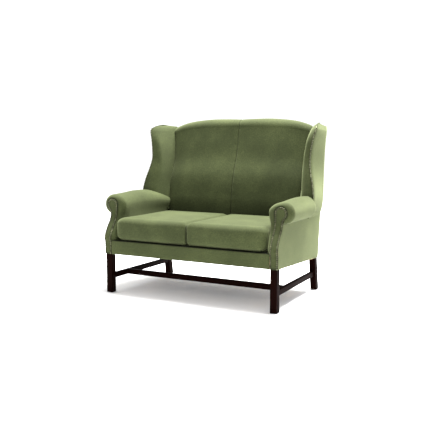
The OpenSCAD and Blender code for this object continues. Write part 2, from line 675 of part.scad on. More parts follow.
module wing_board() difference() {
    across(wing_board_in, wing_board_thickness) polygon(concat(
        [for (s = wing_board_shares)
            [fy(settee_depth * curve(wing_lip_y_shares, s) + wing_board_margin), wing_z(s)]],
        [[fy(rear_at(wing_z(0.88))), wing_z(0.88)], [fy(rear_at(wing_z(0.17))), wing_z(0.17)]]
    ));
    rear_leg_block();
    across(0, base_width) polygon(concat(
        [for (z = post_levels) [fy(post_rear(z) - leg_side / 2), z]],
        [[fy(2 * settee_depth), post_top], [fy(2 * settee_depth), rear_leg_height]]
    ));
}

// Soft fillings
module arm_filling() color(foam) {
    difference() {
        arm_panel_form(filling_inset, 0);
        arm_post_body();
    }
    difference() {
        arm_roll_form(filling_inset, 0);
        arm_post_body();
        arm_rail_body();
    }
}

module wing_filling() color(foam) difference() {
    wing_form(cover_thickness + fit_gap, wing_foot + fit_gap, wing_top - cover_thickness - fit_gap);
    wing_board();
    arm_rail_body();
    post_room();
}

// Covers
module arm_velvet() color(velvet) {
    difference() {
        arm_panel_form(0, 0);
        arm_panel_form(cover_thickness, overrun);
        translate([facing_in, fy(0), 0]) cube([base_width, settee_depth, 2 * wing_foot]);
    }
    difference() {
        arm_roll_form(0, 0);
        arm_roll_form(cover_thickness, overrun);
        translate([facing_in + cover_thickness, fy(0), 0])
            cube([scroll_centre_x + scroll_radius - facing_in - cover_thickness + fit_gap,
                sweep_depth + arm_post_depth, arm_post_top + fit_gap]);
    }
}

module wing_shell() difference() {
    wing_form(0, wing_foot, wing_top);
    wing_form(cover_thickness, wing_foot - overrun, wing_top - cover_thickness);
    arm_rail_body();
    post_room();
}

module wing_velvet() color(velvet) difference() {
    wing_shell();
    wing_outer_side();
}

module wing_outside_velvet() color(velvet) intersection() {
    wing_shell();
    wing_outer_side();
}

module arm_outside_velvet() color(velvet) intersection() {
    linear_extrude(settee_height) polygon([for (q = [[0, 0], [1, 0], [1, 1], [0, 1]])
        let (d = q.y * settee_depth) [half_at(d) - q.x * cover_thickness, fy(d)]]);
    across(0, base_width) polygon(let (ahead = facing_thickness + fit_gap, top = wing_foot - fit_gap) concat(
        [for (k = [0:facing_steps]) let (z = facing_z(k)) if (z < top) [fy(sweep_at(z) + ahead), z]],
        [[fy(sweep_at(top) + ahead), top], [fy(post_rear(top)), top]],
        [for (k = [back_steps:-1:0]) let (z = back_z(k)) if (z < top)
            [fy(post_rear(z)), k == 0 ? bottom_at(post_rear(z)) : z]]
    ));
}

back_seam_drop = crest_round * 0.6;
module back_outside_velvet() color(velvet) intersection() {
    across(-base_width / 2, base_width) polygon(concat(
        [for (z = back_levels) [fy(rear_at(z)), z]],
        [for (k = [len(back_levels) - 1:-1:0])
            [fy(rear_at(back_levels[k]) - cover_thickness), back_levels[k]]]
    ));
    deep(fy(0), 2 * settee_depth) polygon(concat(
        [for (k = [-8:8]) let (x = k / 8 * arm_inside) [x, crest_at(x) - back_seam_drop]],
        [[half_at(heel), crest_at(arm_inside) - back_seam_drop],
            [half_at(heel) - cover_thickness, rear_leg_height],
            [-half_at(heel) + cover_thickness, rear_leg_height],
            [-half_at(heel), crest_at(arm_inside) - back_seam_drop]]
    ));
}

// Back frame, webbing and filling
back_rail_height = leg_side * 1.3;
back_board = rail_thickness * 0.85;
web_width = leg_side * 1.15;
web_thickness = cover_thickness * 0.6;
lower_rail_z = deck_top + leg_side * 0.8;
top_rail_z = post_top - back_rail_height;
filling_ahead = 3 * cover_thickness + back_board + 2 * web_thickness;

// Strip that follows the rear of the back from one height to another
module rear_strip(low, high, ahead, thickness, steps)
    polygon(concat(
        [for (k = [0:steps]) let (z = low + (high - low) * k / steps) [fy(post_rear(z) - ahead), z]],
        [for (k = [steps:-1:0]) let (z = low + (high - low) * k / steps)
            [fy(post_rear(z) - ahead - thickness), z]]
    ));

module top_rail() color(beech)
    across(-post_in, 2 * post_in) rear_strip(top_rail_z, post_top, cover_thickness, back_board, 6);

module lower_rail() color(beech)
    across(-post_in, 2 * post_in)
        rear_strip(lower_rail_z, lower_rail_z + back_rail_height, cover_thickness, back_board, 6);

module centre_post() color(beech)
    across(-leg_side / 2, leg_side)
        rear_strip(lower_rail_z + back_rail_height, top_rail_z, cover_thickness, back_board, 8);

module webbing_body() {
    low = lower_rail_z + back_rail_height * 0.4;
    high = top_rail_z + back_rail_height * 0.6;
    for (k = [-3:2]) across((k + 0.5) * arm_inside / 3.2 - web_width / 2, web_width)
        rear_strip(low, high, cover_thickness + back_board + fit_gap, web_thickness, 24);
    for (s = [0.3, 0.5, 0.7]) across(-post_in, 2 * post_in)
        rear_strip(low + (high - low) * s, low + (high - low) * s + web_width,
            cover_thickness + back_board + 2 * fit_gap + web_thickness, web_thickness, 4);
}

module back_filling() color(foam) {
    clear = 2 * cover_thickness;
    sheet([for (share = back_station_shares) back_line(share, filling_inset, deck_top + fit_gap, clear)],
        [for (share = back_station_shares) filling_line(share, deck_top + fit_gap, clear)]);
}

// Arm facing and its nails
scroll_centre_x = facing_in + facing_width * 0.72;
facing_rx = facing_width * 0.72;
facing_rz = facing_top - roll_height;
facing_arc = [for (a = [180:-23:-50]) a];

function facing_outline(inset) = concat(
    [for (a = facing_arc)
        [scroll_centre_x + (facing_rx - inset) * cos(a), roll_height + (facing_rz - inset) * sin(a)]],
    [for (s = [0.88, 0.8]) [facing_in + facing_width * (s > 0.85 ? 1.03 : 1) - inset,
        leg_height + (roll_height - leg_height) * s]]
);

facing_steps = 24;
function facing_z(k) = leg_height + (facing_top - leg_height) * k / facing_steps;

module facing() color(velvet_shade) intersection() {
    deep(fy(-overrun), sweep_depth + 2 * overrun) polygon(concat(
        [[facing_in, leg_height]], facing_outline(0), [[facing_in + facing_width, leg_height]]));
    across(facing_in - overrun, facing_width + 2 * overrun) polygon(concat(
        [for (k = [0:facing_steps]) [fy(sweep_at(facing_z(k))), facing_z(k)]],
        [for (k = [facing_steps:-1:0]) [fy(sweep_at(facing_z(k)) + facing_thickness), facing_z(k)]]
    ));
}

function run_lengths(p) =
    [for (i = 0, s = 0; i < len(p); s = s + norm(p[min(i + 1, len(p) - 1)] - p[i]), i = i + 1) s];
function spot(p, l, s) =
    let (k = max([for (i = [0:len(l) - 2]) if (l[i] <= s) i]))
    p[k] + (p[k + 1] - p[k]) * (s - l[k]) / (l[k + 1] - l[k]);
function walk(p, pitch) =
    let (l = run_lengths(p), whole = l[len(l) - 1], count = floor(whole / pitch))
    [for (k = [0:count]) spot(p, l, min(k * whole / count, whole * 0.9999))];

module nail_head() cylinder(d1 = nail_diameter, d2 = nail_diameter * 0.4, h = nail_height, $fn = 14);

nail_row_steps = 24;
facing_nail_path =
    let (low = leg_height + nail_inset, high = roll_height, arc = facing_outline(nail_inset),
        neck = arc[len(arc) - 1], in = facing_in + nail_inset)
    [for (q = concat(
        [for (k = [0:nail_row_steps - 1]) [in, low + (high - low) * k / nail_row_steps]],
        arc,
        [for (k = [1:nail_row_steps]) [neck.x, neck.y + (low - neck.y) * k / nail_row_steps]]
    )) [q.x, fy(sweep_at(q.y)), q.y]];
function sweep_lean(z) = atan2(sweep_at(z + nail_inset) - sweep_at(z - nail_inset), 2 * nail_inset);

module facing_nails() color(bronze) {
    spots = walk(facing_nail_path, nail_pitch);
    for (k = [0:len(spots) - 1]) translate(spots[k]) rotate([90 - sweep_lean(spots[k].z), 0, 0])
        translate([0, 0, 2 * fit_gap]) nail_head();
}

// Wing nails along the outer front corner, on the flat in the middle of its bend
wing_corner_point = 2 * 4 + 1;
wing_flats = [for (s = wing_level_shares) let (ring = wing_ring(s, 0, wing_z(s)))
    [ring[wing_corner_point], ring[wing_corner_point + 1]]];
wing_turns = [for (f = wing_flats) [f[0].z, atan2(f[1].y - f[0].y, f[1].x - f[0].x)]];
wing_nail_levels = [for (k = [0:len(wing_flats) - 1]) let (s = wing_level_shares[k])
    if (s >= 0.22 && s < 0.97) (wing_flats[k][0] + wing_flats[k][1]) / 2];
wing_nail_path = concat([wing_nail_levels[0] * 0.8 + wing_nail_levels[1] * 0.2],
    [for (k = [1:len(wing_nail_levels) - 1]) wing_nail_levels[k]]);

module side_nails() color(bronze) {
    spots = walk(wing_nail_path, nail_pitch);
    for (k = [0:len(spots) - 1]) {
        turn = lookup(spots[k].z, wing_turns);
        along = spots[min(k + 1, len(spots) - 1)] - spots[max(k - 1, 0)];
        out = unit_of(cross([cos(turn), sin(turn), 0], along));
        translate(spots[k]) rotate([0, acos(out.z), atan2(out.y, out.x)])
            translate([0, 0, 2 * fit_gap]) nail_head();
    }
}

// Envelope of the right cushion, drawn in by an inset
cushion_split = 1;
cushion_front = border_front + cover_thickness * 2;
cushion_rear = back_foot - cover_thickness;
cushion_side = arm_inside - cover_thickness * 0.9;
cushion_foot = deck_top + fit_gap;
// Rows of height share, edge setback and share of the front swell
cushion_rows_shares = [[0, 0.13, 0], [0.03, 0.07, 0], [0.1, 0.015, 0.5], [0.3, 0, 0.95], [0.6, 0, 1],
    [0.85, 0.01, 0.7], [0.965, 0.035, 0.25], [1, 0.07, 0.1]];
// Rows of crown share and edge setback share, towards the middle
crown_shares = [[0.3, 0.2], [0.62, 0.5], [0.88, 0.95], [0.98, 1.5]];

function cushion_ring(z, draw, swell) =
    let (in = cushion_split + draw, out = cushion_reach - draw, side = cushion_side - draw,
        near = cushion_front + draw, far = cushion_rear - draw,
        soft = cushion_height * 0.24 * (1 - draw / cushion_height / 2),
        a = [in, near], b = [out, near], e = [side, flare_end], f = [side, far], g = [in, far],
        ring = ring_of([[a, soft * 0.3, 2, 4], [b, soft, 4, 2], [e, soft * 0.3, 2, 3],
            [f, soft * 0.6, 2, 2], [g, soft * 0.3, 2, 3]]))
    [for (q = ring) let (u = (q.x - in) / (out - in), v = (q.y - near) / (far - near),
            push = swell * cushion_swell * sin(180 * min(max(u, 0), 1)) * max(1 - 2.5 * v, 0))
        [q.x, fy(q.y - push), z]];

module cushion_form(inset) {
    low = cushion_foot + inset;
    high = cushion_foot + cushion_height - inset;
    loft(concat(
        [for (r = cushion_rows_shares)
            cushion_ring(low + (high - low) * r[0], r[1] * cushion_height + inset, r[2])],
        [for (r = crown_shares)
            cushion_ring(high + cushion_crown * r[0], r[1] * cushion_height + inset, 0)]
    ));
}

// Zip opening along the back of a cushion cover
zip_length_share = 0.8;
module cushion_velvet() color(velvet) difference() {
    cushion_form(0);
    cushion_form(cover_thickness);
    translate([arm_inside * (1 - zip_length_share) / 2, fy(cushion_rear - 2 * cover_thickness),
        cushion_foot + cushion_height / 2 - cover_thickness / 2])
        cube([arm_inside * zip_length_share, overrun, cover_thickness]);
}

module cushion_foam() color(foam) cushion_form(cover_thickness + fit_gap);

left() front_leg();  // leg_front_left
front_leg();  // leg_front_right
left() rear_leg();  // leg_rear_left
rear_leg();  // leg_rear_right
glides();  // foot_glides
left() side_stretcher();  // stretcher_left
side_stretcher();  // stretcher_right
centre_stretcher();  // stretcher_centre
front_rail();  // rail_front
rear_rail();  // rail_rear
left() side_rail();  // rail_left
side_rail();  // rail_right
middle_rail();  // rail_middle
blocks();  // corner_blocks
bolts();  // leg_bolts
springs();  // seat_springs
clips();  // spring_clips
liner();  // deck_liner
pad_on_deck();  // deck_pad
deck_velvet();  // deck_cover
border();  // front_border_cover
dust();  // dust_cover
top_rail();  // back_top_rail
lower_rail();  // back_lower_rail
centre_post();  // back_centre_post
color(hessian) webbing_body();  // back_webbing
back_filling();  // back_padding
back_velvet();  // inside_back_cover_left
left() back_velvet();  // inside_back_cover_right
back_outside_velvet();  // outside_back_cover
left() color(beech) arm_post_body();  // arm_post_left
color(beech) arm_post_body();  // arm_post_right
left() color(beech) arm_rail_body();  // arm_rail_left
color(beech) arm_rail_body();  // arm_rail_right
left() arm_filling();  // arm_padding_left
arm_filling();  // arm_padding_right
left() arm_velvet();  // arm_cover_left
arm_velvet();  // arm_cover_right
left() facing();  // arm_facing_left
facing();  // arm_facing_right
left() facing_nails();  // arm_nails_left
facing_nails();  // arm_nails_right
left() arm_outside_velvet();  // outside_arm_cover_left
arm_outside_velvet();  // outside_arm_cover_right
left() color(beech) wing_board();  // wing_frame_left
color(beech) wing_board();  // wing_frame_right
left() wing_filling();  // wing_padding_left
wing_filling();  // wing_padding_right
left() wing_velvet();  // wing_cover_left
wing_velvet();  // wing_cover_right
left() wing_outside_velvet();  // outside_wing_cover_left
wing_outside_velvet();  // outside_wing_cover_right
left() side_nails();  // wing_nails_left
side_nails();  // wing_nails_right
left() cushion_foam();  // cushion_core_left
cushion_foam();  // cushion_core_right
left() cushion_velvet();  // cushion_cover_left
cushion_velvet();  // cushion_cover_right
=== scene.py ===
import json
import bpy
import bmesh
import numpy as np
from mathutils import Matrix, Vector


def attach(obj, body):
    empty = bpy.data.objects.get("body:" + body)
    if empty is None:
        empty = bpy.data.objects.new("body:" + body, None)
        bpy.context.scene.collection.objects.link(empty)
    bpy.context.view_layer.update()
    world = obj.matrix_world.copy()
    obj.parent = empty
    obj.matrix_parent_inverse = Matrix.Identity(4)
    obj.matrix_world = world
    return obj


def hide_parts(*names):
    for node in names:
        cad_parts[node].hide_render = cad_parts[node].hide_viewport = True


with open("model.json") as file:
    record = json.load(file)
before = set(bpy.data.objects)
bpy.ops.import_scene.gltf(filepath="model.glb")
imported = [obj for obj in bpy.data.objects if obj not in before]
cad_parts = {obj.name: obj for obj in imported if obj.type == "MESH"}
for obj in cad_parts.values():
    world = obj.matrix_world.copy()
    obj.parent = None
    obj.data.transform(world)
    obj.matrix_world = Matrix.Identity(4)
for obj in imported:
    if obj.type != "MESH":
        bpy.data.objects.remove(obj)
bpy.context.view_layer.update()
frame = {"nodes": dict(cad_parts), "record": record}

# Lengths are in millimetres until a mesh is made. d is the distance behind the foremost point.
body = {
    "depth": 816, "height": 1121, "deck": 343, "base": 1204, "taper": 10, "taperDepth": 704,
    "legTop": 254, "rearLegTop": 218, "borderFront": 9.24, "foot": 600, "heel": 711,
    "drop": 45, "crestRound": 52, "inside": 509, "wingFoot": 495, "wingTop": 1089,
    "rootSet": 21, "coverGap": 3.3, "facingTop": 605, "sweep": 77, "rise": 12,
}


def curve(rows, x):
    # Cubic through the rows, each slope taken from its two neighbours
    r = np.array(rows, float)
    x = np.asarray(x, float)
    k = np.clip(np.searchsorted(r[:, 0], x, side="right") - 1, 0, len(r) - 2)
    place = np.arange(len(r))
    low, high = np.maximum(place - 1, 0), np.minimum(place + 1, len(r) - 1)
    slope = (r[high, 1] - r[low, 1]) / (r[high, 0] - r[low, 0])
    h = r[k + 1, 0] - r[k, 0]
    t = (x - r[k, 0]) / h
    return ((2 * t**3 - 3 * t**2 + 1) * r[k, 1] + (t**3 - 2 * t**2 + t) * h * slope[k]
            + (3 * t**2 - 2 * t**3) * r[k + 1, 1] + (t**3 - t**2) * h * slope[k + 1])


def smooth(a, b, x):
    t = np.clip((np.asarray(x, float) - a) / (b - a), 0, 1)
    return t * t * (3 - 2 * t)


def bump(x, middle, width):
    return np.exp(-((x - middle) / width) ** 2)


def mix(a, b, t):
    return a + (b - a) * t


def cornerDip(share):
    # 1 at an edge, easing to 0 where the soft edge ends
    return 1 - np.sin(np.clip(share, 0, 1) * 1.57)


# Outlines as shares: the height, width or depth along, then the share of the reach there
backFrontRows = [[0, 0], [0.213, 0.046], [0.323, 0.079], [0.512, 0.206], [0.672, 0.421], [0.8, 0.54],
                 [0.931, 0.634], [1, 0.66]]
backRearRows = [[-0.25, 0.48], [-0.161, 0.514], [0.199, 0.662], [0.303, 0.727], [0.527, 0.769],
                [0.653, 0.801], [0.819, 0.894], [0.901, 0.968], [0.96, 0.995], [1.1, 1]]
crestRows = [[0, 0], [0.25, 0.03], [0.515, 0.13], [0.787, 0.4], [1, 1], [1.2, 1.7]]
sweepRows = [[0, 0.12], [0.1, 0.12], [0.19, 0.12], [0.24, 0.1], [0.295, 0.04], [0.37, 0.15], [0.486, 0.43],
             [0.595, 0.77], [0.7, 0.96], [0.8, 1], [1, 1], [1.2, 1]]
riseRows = [[0, 0], [0.1, 0], [0.25, 0.35], [0.42, 1], [0.6, 0.5], [0.84, -2.7], [1, -3.3]]
edgeXRows = [[0, 1], [0.105, 1.033], [0.22, 1.05], [0.36, 1.027], [0.489, 0.992], [0.597, 0.973],
             [0.695, 0.976], [0.819, 0.993], [0.929, 1.018], [1, 1.012]]
edgeYRows = [[0, 0.596], [0.22, 0.596], [0.36, 0.613], [0.489, 0.64], [0.597, 0.663], [0.695, 0.67],
             [0.819, 0.679], [0.929, 0.694], [0.965, 0.72], [1, 0.79]]
lipXRows = [[0, 0.914], [0.24, 0.909], [0.342, 0.894], [0.458, 0.884], [0.552, 0.882], [0.694, 0.895],
            [0.819, 0.917], [0.92, 0.939], [1, 0.953]]
lipYRows = [[0, 0.602], [0.24, 0.616], [0.342, 0.641], [0.458, 0.665], [0.552, 0.684], [0.694, 0.69],
            [0.819, 0.697], [0.92, 0.733], [0.965, 0.77], [1, 0.82]]
rootXRows = [[0, 0.735], [0.186, 0.739], [0.3, 0.764], [0.443, 0.782], [0.695, 0.816], [0.958, 0.853],
             [1, 0.86]]
heelXRows = [[0, 0.984], [0.2, 1], [1, 1]]


def fy(d):
    return d - body["depth"] / 2


def backShare(z):
    return (z - body["deck"]) / (body["height"] - body["deck"])


def rearAt(z):
    return body["foot"] + (body["depth"] - body["foot"]) * curve(backRearRows, backShare(z))


def frontAt(z):
    return body["foot"] + (body["depth"] - body["foot"]) * curve(backFrontRows, backShare(z))


def crestAt(x):
    return body["height"] - body["drop"] * curve(crestRows, np.abs(x) / body["inside"])


def sweepAt(z):
    # How far the arm's front stands back, from the leg's top to the facing's top
    return body["sweep"] * curve(sweepRows, (z - body["legTop"]) / (body["facingTop"] - body["legTop"]))


def riseAt(d):
    return body["rise"] * curve(riseRows, d / body["depth"])


def halfAt(d):
    return body["base"] / 2 - body["taper"] * d / body["taperDepth"]


def bottomAt(d):
    share = (d - body["borderFront"]) / (body["heel"] - body["borderFront"])
    return body["legTop"] - (body["legTop"] - body["rearLegTop"]) * share


def wingShare(z):
    return (z - body["wingFoot"]) / (body["wingTop"] - body["wingFoot"])


def wingCorners(s):
    # Root, lip, edge and heel of a wing at one height, as arrays of x and d
    half, depth = body["base"] / 2, body["depth"]
    rear = rearAt(body["wingFoot"] + (body["wingTop"] - body["wingFoot"]) * s) - body["coverGap"]
    return (np.stack([half * curve(rootXRows, s), rear - body["rootSet"]], -1),
            np.stack([half * curve(lipXRows, s), depth * curve(lipYRows, s)], -1),
            np.stack([half * curve(edgeXRows, s), depth * curve(edgeYRows, s)], -1),
            np.stack([half * curve(heelXRows, s), rear], -1))


def wingFaceAt(d, z):
    # x of the wing's inner face
    root, lip, _, _ = wingCorners(np.clip(wingShare(z), 0, 1))
    t = (d - lip[..., 1]) / (root[..., 1] - lip[..., 1])
    return mix(lip[..., 0], root[..., 0], t)


def meshObject(name, points, faces, material, weld=0.0, creaseAndShade=None):
    me = bpy.data.meshes.new(name)
    points = np.asarray(points, np.float64).reshape(-1, 3) / 1000
    faces = np.asarray(faces, np.int32)
    me.vertices.add(len(points))
    me.vertices.foreach_set("co", points.ravel())
    me.loops.add(faces.size)
    me.loops.foreach_set("vertex_index", faces.ravel())
    me.polygons.add(len(faces))
    me.polygons.foreach_set("loop_start", np.arange(len(faces), dtype=np.int32) * faces.shape[1])
    me.update(calc_edges=True)
    me.validate()
    # Painted shade per point, stored as an attribute that darkens the velvet and takes its sheen away
    if creaseAndShade is not None:
        shade = me.attributes.new("creaseAndShade", "FLOAT", "POINT")
        shade.data.foreach_set("value", np.clip(np.asarray(creaseAndShade, np.float32), 0, 1).ravel())
    if weld:
        bm = bmesh.new()
        bm.from_mesh(me)
        bmesh.ops.remove_doubles(bm, verts=bm.verts, dist=weld / 1000)
        bmesh.ops.dissolve_degenerate(bm, edges=bm.edges, dist=weld / 2000)
        bm.to_mesh(me)
        bm.free()
    return placed(name, me, material)


def placed(name, me, material):
    me.polygons.foreach_set("use_smooth", np.ones(len(me.polygons), bool))
    me.materials.append(material)
    ob = bpy.data.objects.new(name, me)
    bpy.context.scene.collection.objects.link(ob)
    return ob


def gridFaces(rows, columns, closed=False):
    # Four-sided faces over a grid of points, its last column joined to the first when closed
    spans = columns if closed else columns - 1
    row, column = np.meshgrid(np.arange(rows - 1), np.arange(spans), indexing="ij")
    here, there, after = row * columns, (row + 1) * columns, (column + 1) % columns
    return np.stack([here + column, there + column, there + after, here + after], -1).reshape(-1, 4)


def gridObject(name, points, material, out=None, closed=False, weld=0.0, creaseAndShade=None):
    # out is the direction that the face looks in. Without it, the faces look away from the middle.
    faces = gridFaces(points.shape[0], points.shape[1], closed)
    flat = points.reshape(-1, 3)
    a, b, c = flat[faces[:, 0]], flat[faces[:, 1]], flat[faces[:, 2]]
    n = np.cross(b - a, c - a)
    if out is None:
        sense = (n * (a - flat.mean(0))).sum()
    else:
        sense = (n @ np.asarray(out, float)).sum()
    if sense < 0:
        faces = faces[:, ::-1]
    return meshObject(name, points, faces, material, weld, creaseAndShade)


def swell(points, amount, towards):
    # Moves each point along the surface normal, on the side that towards points to
    n = np.cross(np.gradient(points, axis=0), np.gradient(points, axis=1))
    n = n / (np.linalg.norm(n, axis=-1, keepdims=True) + 1e-9)
    sign = 1 if (n @ np.asarray(towards, float)).mean() > 0 else -1
    return points + sign * n * amount[..., None]


def ripple(a, b, seed, scale):
    # Sum of six sine waves in random directions, three long and three half as long, about 1 high
    turn, waves = 6.28, 3
    rng = np.random.RandomState(seed)
    total = np.zeros(np.broadcast(a, b).shape)
    for octave in range(2):
        for _ in range(waves):
            angle, phase = rng.rand() * turn, rng.rand() * turn
            f = 2**octave / scale
            total += np.sin(turn * f * (a * np.cos(angle) + b * np.sin(angle)) + phase) / 2**octave / waves
    return total


def pair(make):
    make("right", 1)
    make("left", -1)


# Materials
def nodeKit(tree):
    # Adds a node. Names that start with _ are its settings and the others its inputs.
    def add(kind, at=(0, 0), **values):
        node = tree.nodes.new(kind)
        node.location = at
        for key, value in values.items():
            if key[0] == "_":
                setattr(node, key[1:], value)
            else:
                node.inputs[key].default_value = value
        return node
    return add


def noiseGroup():
    # Object coordinates to broad, middle and fine noise
    group = bpy.data.node_groups.new("surfaceNoise", "ShaderNodeTree")
    for label, value in (("Broad", 5.0), ("Middle", 40.0), ("Fine", 700.0)):
        socket = group.interface.new_socket(label, in_out="INPUT", socket_type="NodeSocketFloat")
        socket.default_value = value
    for label in ("Broad", "Middle", "Fine"):
        group.interface.new_socket(label, in_out="OUTPUT", socket_type="NodeSocketFloat")
    add = nodeKit(group)
    coords, enter, leave = add("ShaderNodeTexCoord"), add("NodeGroupInput"), add("NodeGroupOutput")
    for label, detail in (("Broad", 3.0), ("Middle", 4.0), ("Fine", 2.0)):
        noise = add("ShaderNodeTexNoise", Detail=detail, Roughness=0.55)
        group.links.new(coords.outputs["Object"], noise.inputs["Vector"])
        group.links.new(enter.outputs[label], noise.inputs["Scale"])
        group.links.new(noise.outputs["Fac"], leave.inputs[label])
    return group


surfaceNoise = noiseGroup()


def newMaterial(name):
    material = bpy.data.materials.new(name)
    material.use_nodes = True
    tree = material.node_tree
    tree.nodes.clear()
    add = nodeKit(tree)
    out = add("ShaderNodeOutputMaterial", (900, 0))
    shader = add("ShaderNodeBsdfPrincipled", (600, 0))
    tree.links.new(shader.outputs[0], out.inputs[0])
    return material, tree, add, shader


def ramp(add, at, stops):
    node = add("ShaderNodeValToRGB", at)
    elements = node.color_ramp.elements
    while len(elements) < len(stops):
        elements.new(0.5)
    for k, (place, color) in enumerate(stops):
        elements[k].position = place
        elements[k].color = (*color, 1)
    return node


def addRelief(tree, add, shader, height, strength, distance):
    relief = add("ShaderNodeBump", (250, -300), Strength=strength, Distance=distance)
    tree.links.new(height, relief.inputs["Height"])
    tree.links.new(relief.outputs[0], shader.inputs["Normal"])


# The seam multiplier paints shade into the cloth in seams, tucks and along hidden edges.
velvetLook = {
    "deep": (0.016, 0.020, 0.006), "mid": (0.027, 0.034, 0.011), "pale": (0.052, 0.062, 0.022),
    "deepAt": 0.42, "midAt": 0.66, "paleAt": 0.95, "patches": 6.0, "flecks": 160.0, "fibres": 900.0,
    "patchPart": 0.55, "fleckPart": 0.7, "level": 0.045, "paintedShadeColour": (0.13, 0.13, 0.11, 1),
    "sheen": 0.3, "sheenTint": (0.74, 0.83, 0.43, 1), "sheenSpread": 0.46, "rough": 0.9, "gloss": 0.15,
}


def velvetMaterial(name):
    # Pile that leans one way or the other: patches and flecks of a deeper and a paler green, with fine fibre.
    # The per-point painted shade attribute darkens the cloth in seams, tucks and hidden edges and takes its
    # sheen away.
    look = velvetLook
    material, tree, add, shader = newMaterial(name)
    noise = add("ShaderNodeGroup", (-700, 0), _node_tree=surfaceNoise,
                Broad=look["patches"], Middle=look["flecks"], Fine=look["fibres"])
    calm = add("ShaderNodeMath", (-580, 0), _operation="MULTIPLY_ADD")
    calm.inputs[1].default_value = look["patchPart"]
    calm.inputs[2].default_value = look["level"]
    both = add("ShaderNodeMath", (-450, 100), _operation="MULTIPLY_ADD")
    both.inputs[1].default_value = look["fleckPart"]
    tree.links.new(noise.outputs["Broad"], calm.inputs[0])
    tree.links.new(noise.outputs["Middle"], both.inputs[0])
    tree.links.new(calm.outputs[0], both.inputs[2])
    colors = ramp(add, (-200, 100), [(look["deepAt"], look["deep"]), (look["midAt"], look["mid"]),
                                     (look["paleAt"], look["pale"])])
    tree.links.new(both.outputs[0], colors.inputs[0])
    # Painted shade: the attribute multiplies the colour by the seam multiplier and lowers the sheen weight.
    paintedShade = add("ShaderNodeAttribute", (-450, -200), _attribute_name="creaseAndShade")
    dark = add("ShaderNodeMix", (150, 150), _data_type="RGBA", _blend_type="MULTIPLY")
    dark.inputs[7].default_value = look["paintedShadeColour"]
    tree.links.new(paintedShade.outputs["Fac"], dark.inputs[0])
    tree.links.new(colors.outputs[0], dark.inputs[6])
    tree.links.new(dark.outputs[2], shader.inputs["Base Color"])
    shadedSheen = add("ShaderNodeMath", (150, -100), _operation="MULTIPLY_ADD")
    shadedSheen.inputs[1].default_value = -look["sheen"]
    shadedSheen.inputs[2].default_value = look["sheen"]
    tree.links.new(paintedShade.outputs["Fac"], shadedSheen.inputs[0])
    tree.links.new(shadedSheen.outputs[0], shader.inputs["Sheen Weight"])
    addRelief(tree, add, shader, noise.outputs["Fine"], 0.25, 0.0004)
    shader.inputs["Roughness"].default_value = look["rough"]
    shader.inputs["Specular IOR Level"].default_value = look["gloss"]
    shader.inputs["Sheen Roughness"].default_value = look["sheenSpread"]
    shader.inputs["Sheen Tint"].default_value = look["sheenTint"]
    return material


def woodMaterial(name, dark, light, rough, gloss):
    # Noise drawn out along Z for the grain, with finer pores
    material, tree, add, shader = newMaterial(name)
    coords = add("ShaderNodeTexCoord", (-1100, 0))
    stretch = add("ShaderNodeMapping", (-900, 0))
    stretch.inputs["Scale"].default_value = (1.0, 1.0, 0.12)
    grain = add("ShaderNodeTexNoise", (-700, 0), Scale=126.0, Detail=6.0, Roughness=0.6, Distortion=0.6)
    pores = add("ShaderNodeTexNoise", (-700, -250), Scale=540.0, Detail=2.0)
    tree.links.new(coords.outputs["Object"], stretch.inputs["Vector"])
    tree.links.new(stretch.outputs[0], grain.inputs["Vector"])
    tree.links.new(stretch.outputs[0], pores.inputs["Vector"])
    colors = ramp(add, (-350, 0), [(0.35, dark), (0.7, light)])
    tree.links.new(grain.outputs["Fac"], colors.inputs[0])
    tree.links.new(colors.outputs[0], shader.inputs["Base Color"])
    addRelief(tree, add, shader, pores.outputs["Fac"], 0.12, 0.0003)
    shader.inputs["Roughness"].default_value = rough
    shader.inputs["Specular IOR Level"].default_value = gloss
    return material


def metalMaterial(name, dark, light, rough):
    material, tree, add, shader = newMaterial(name)
    noise = add("ShaderNodeGroup", (-700, 0), _node_tree=surfaceNoise, Broad=60.0, Middle=300.0, Fine=1500.0)
    colors = ramp(add, (-350, 0), [(0.35, dark), (0.7, light)])
    tree.links.new(noise.outputs["Broad"], colors.inputs[0])
    tree.links.new(colors.outputs[0], shader.inputs["Base Color"])
    addRelief(tree, add, shader, noise.outputs["Middle"], 0.2, 0.0003)
    shader.inputs["Metallic"].default_value = 1.0
    shader.inputs["Roughness"].default_value = rough
    return material


def weaveMaterial(name, dark, light, threads):
    # Two crossed wave bands for the threads of a plain weave
    material, tree, add, shader = newMaterial(name)
    coords = add("ShaderNodeTexCoord", (-1100, 0))
    both = add("ShaderNodeMath", (-500, 0), _operation="MAXIMUM")
    for k, direction in enumerate(("X", "Z")):
        wave = add("ShaderNodeTexWave", (-800, -250 * k), _bands_direction=direction,
                   Scale=threads, Distortion=1.0)
        tree.links.new(coords.outputs["Object"], wave.inputs["Vector"])
        tree.links.new(wave.outputs["Fac"], both.inputs[k])
    colors = ramp(add, (-250, 0), [(0.3, dark), (1.0, light)])
    tree.links.new(both.outputs[0], colors.inputs[0])
    tree.links.new(colors.outputs[0], shader.inputs["Base Color"])
    addRelief(tree, add, shader, both.outputs[0], 0.5, 0.0008)
    shader.inputs["Roughness"].default_value = 0.9
    return material


velvet = velvetMaterial("velvet")
mahogany = woodMaterial("mahogany", (0.0022, 0.0005, 0.0003), (0.0065, 0.0014, 0.0008), 0.55, 0.01)
bronze = metalMaterial("bronze", (0.035, 0.037, 0.02), (0.13, 0.133, 0.08), 0.28)
blackCloth = weaveMaterial("blackCloth", (0.008, 0.008, 0.008), (0.03, 0.03, 0.03), 200.0)

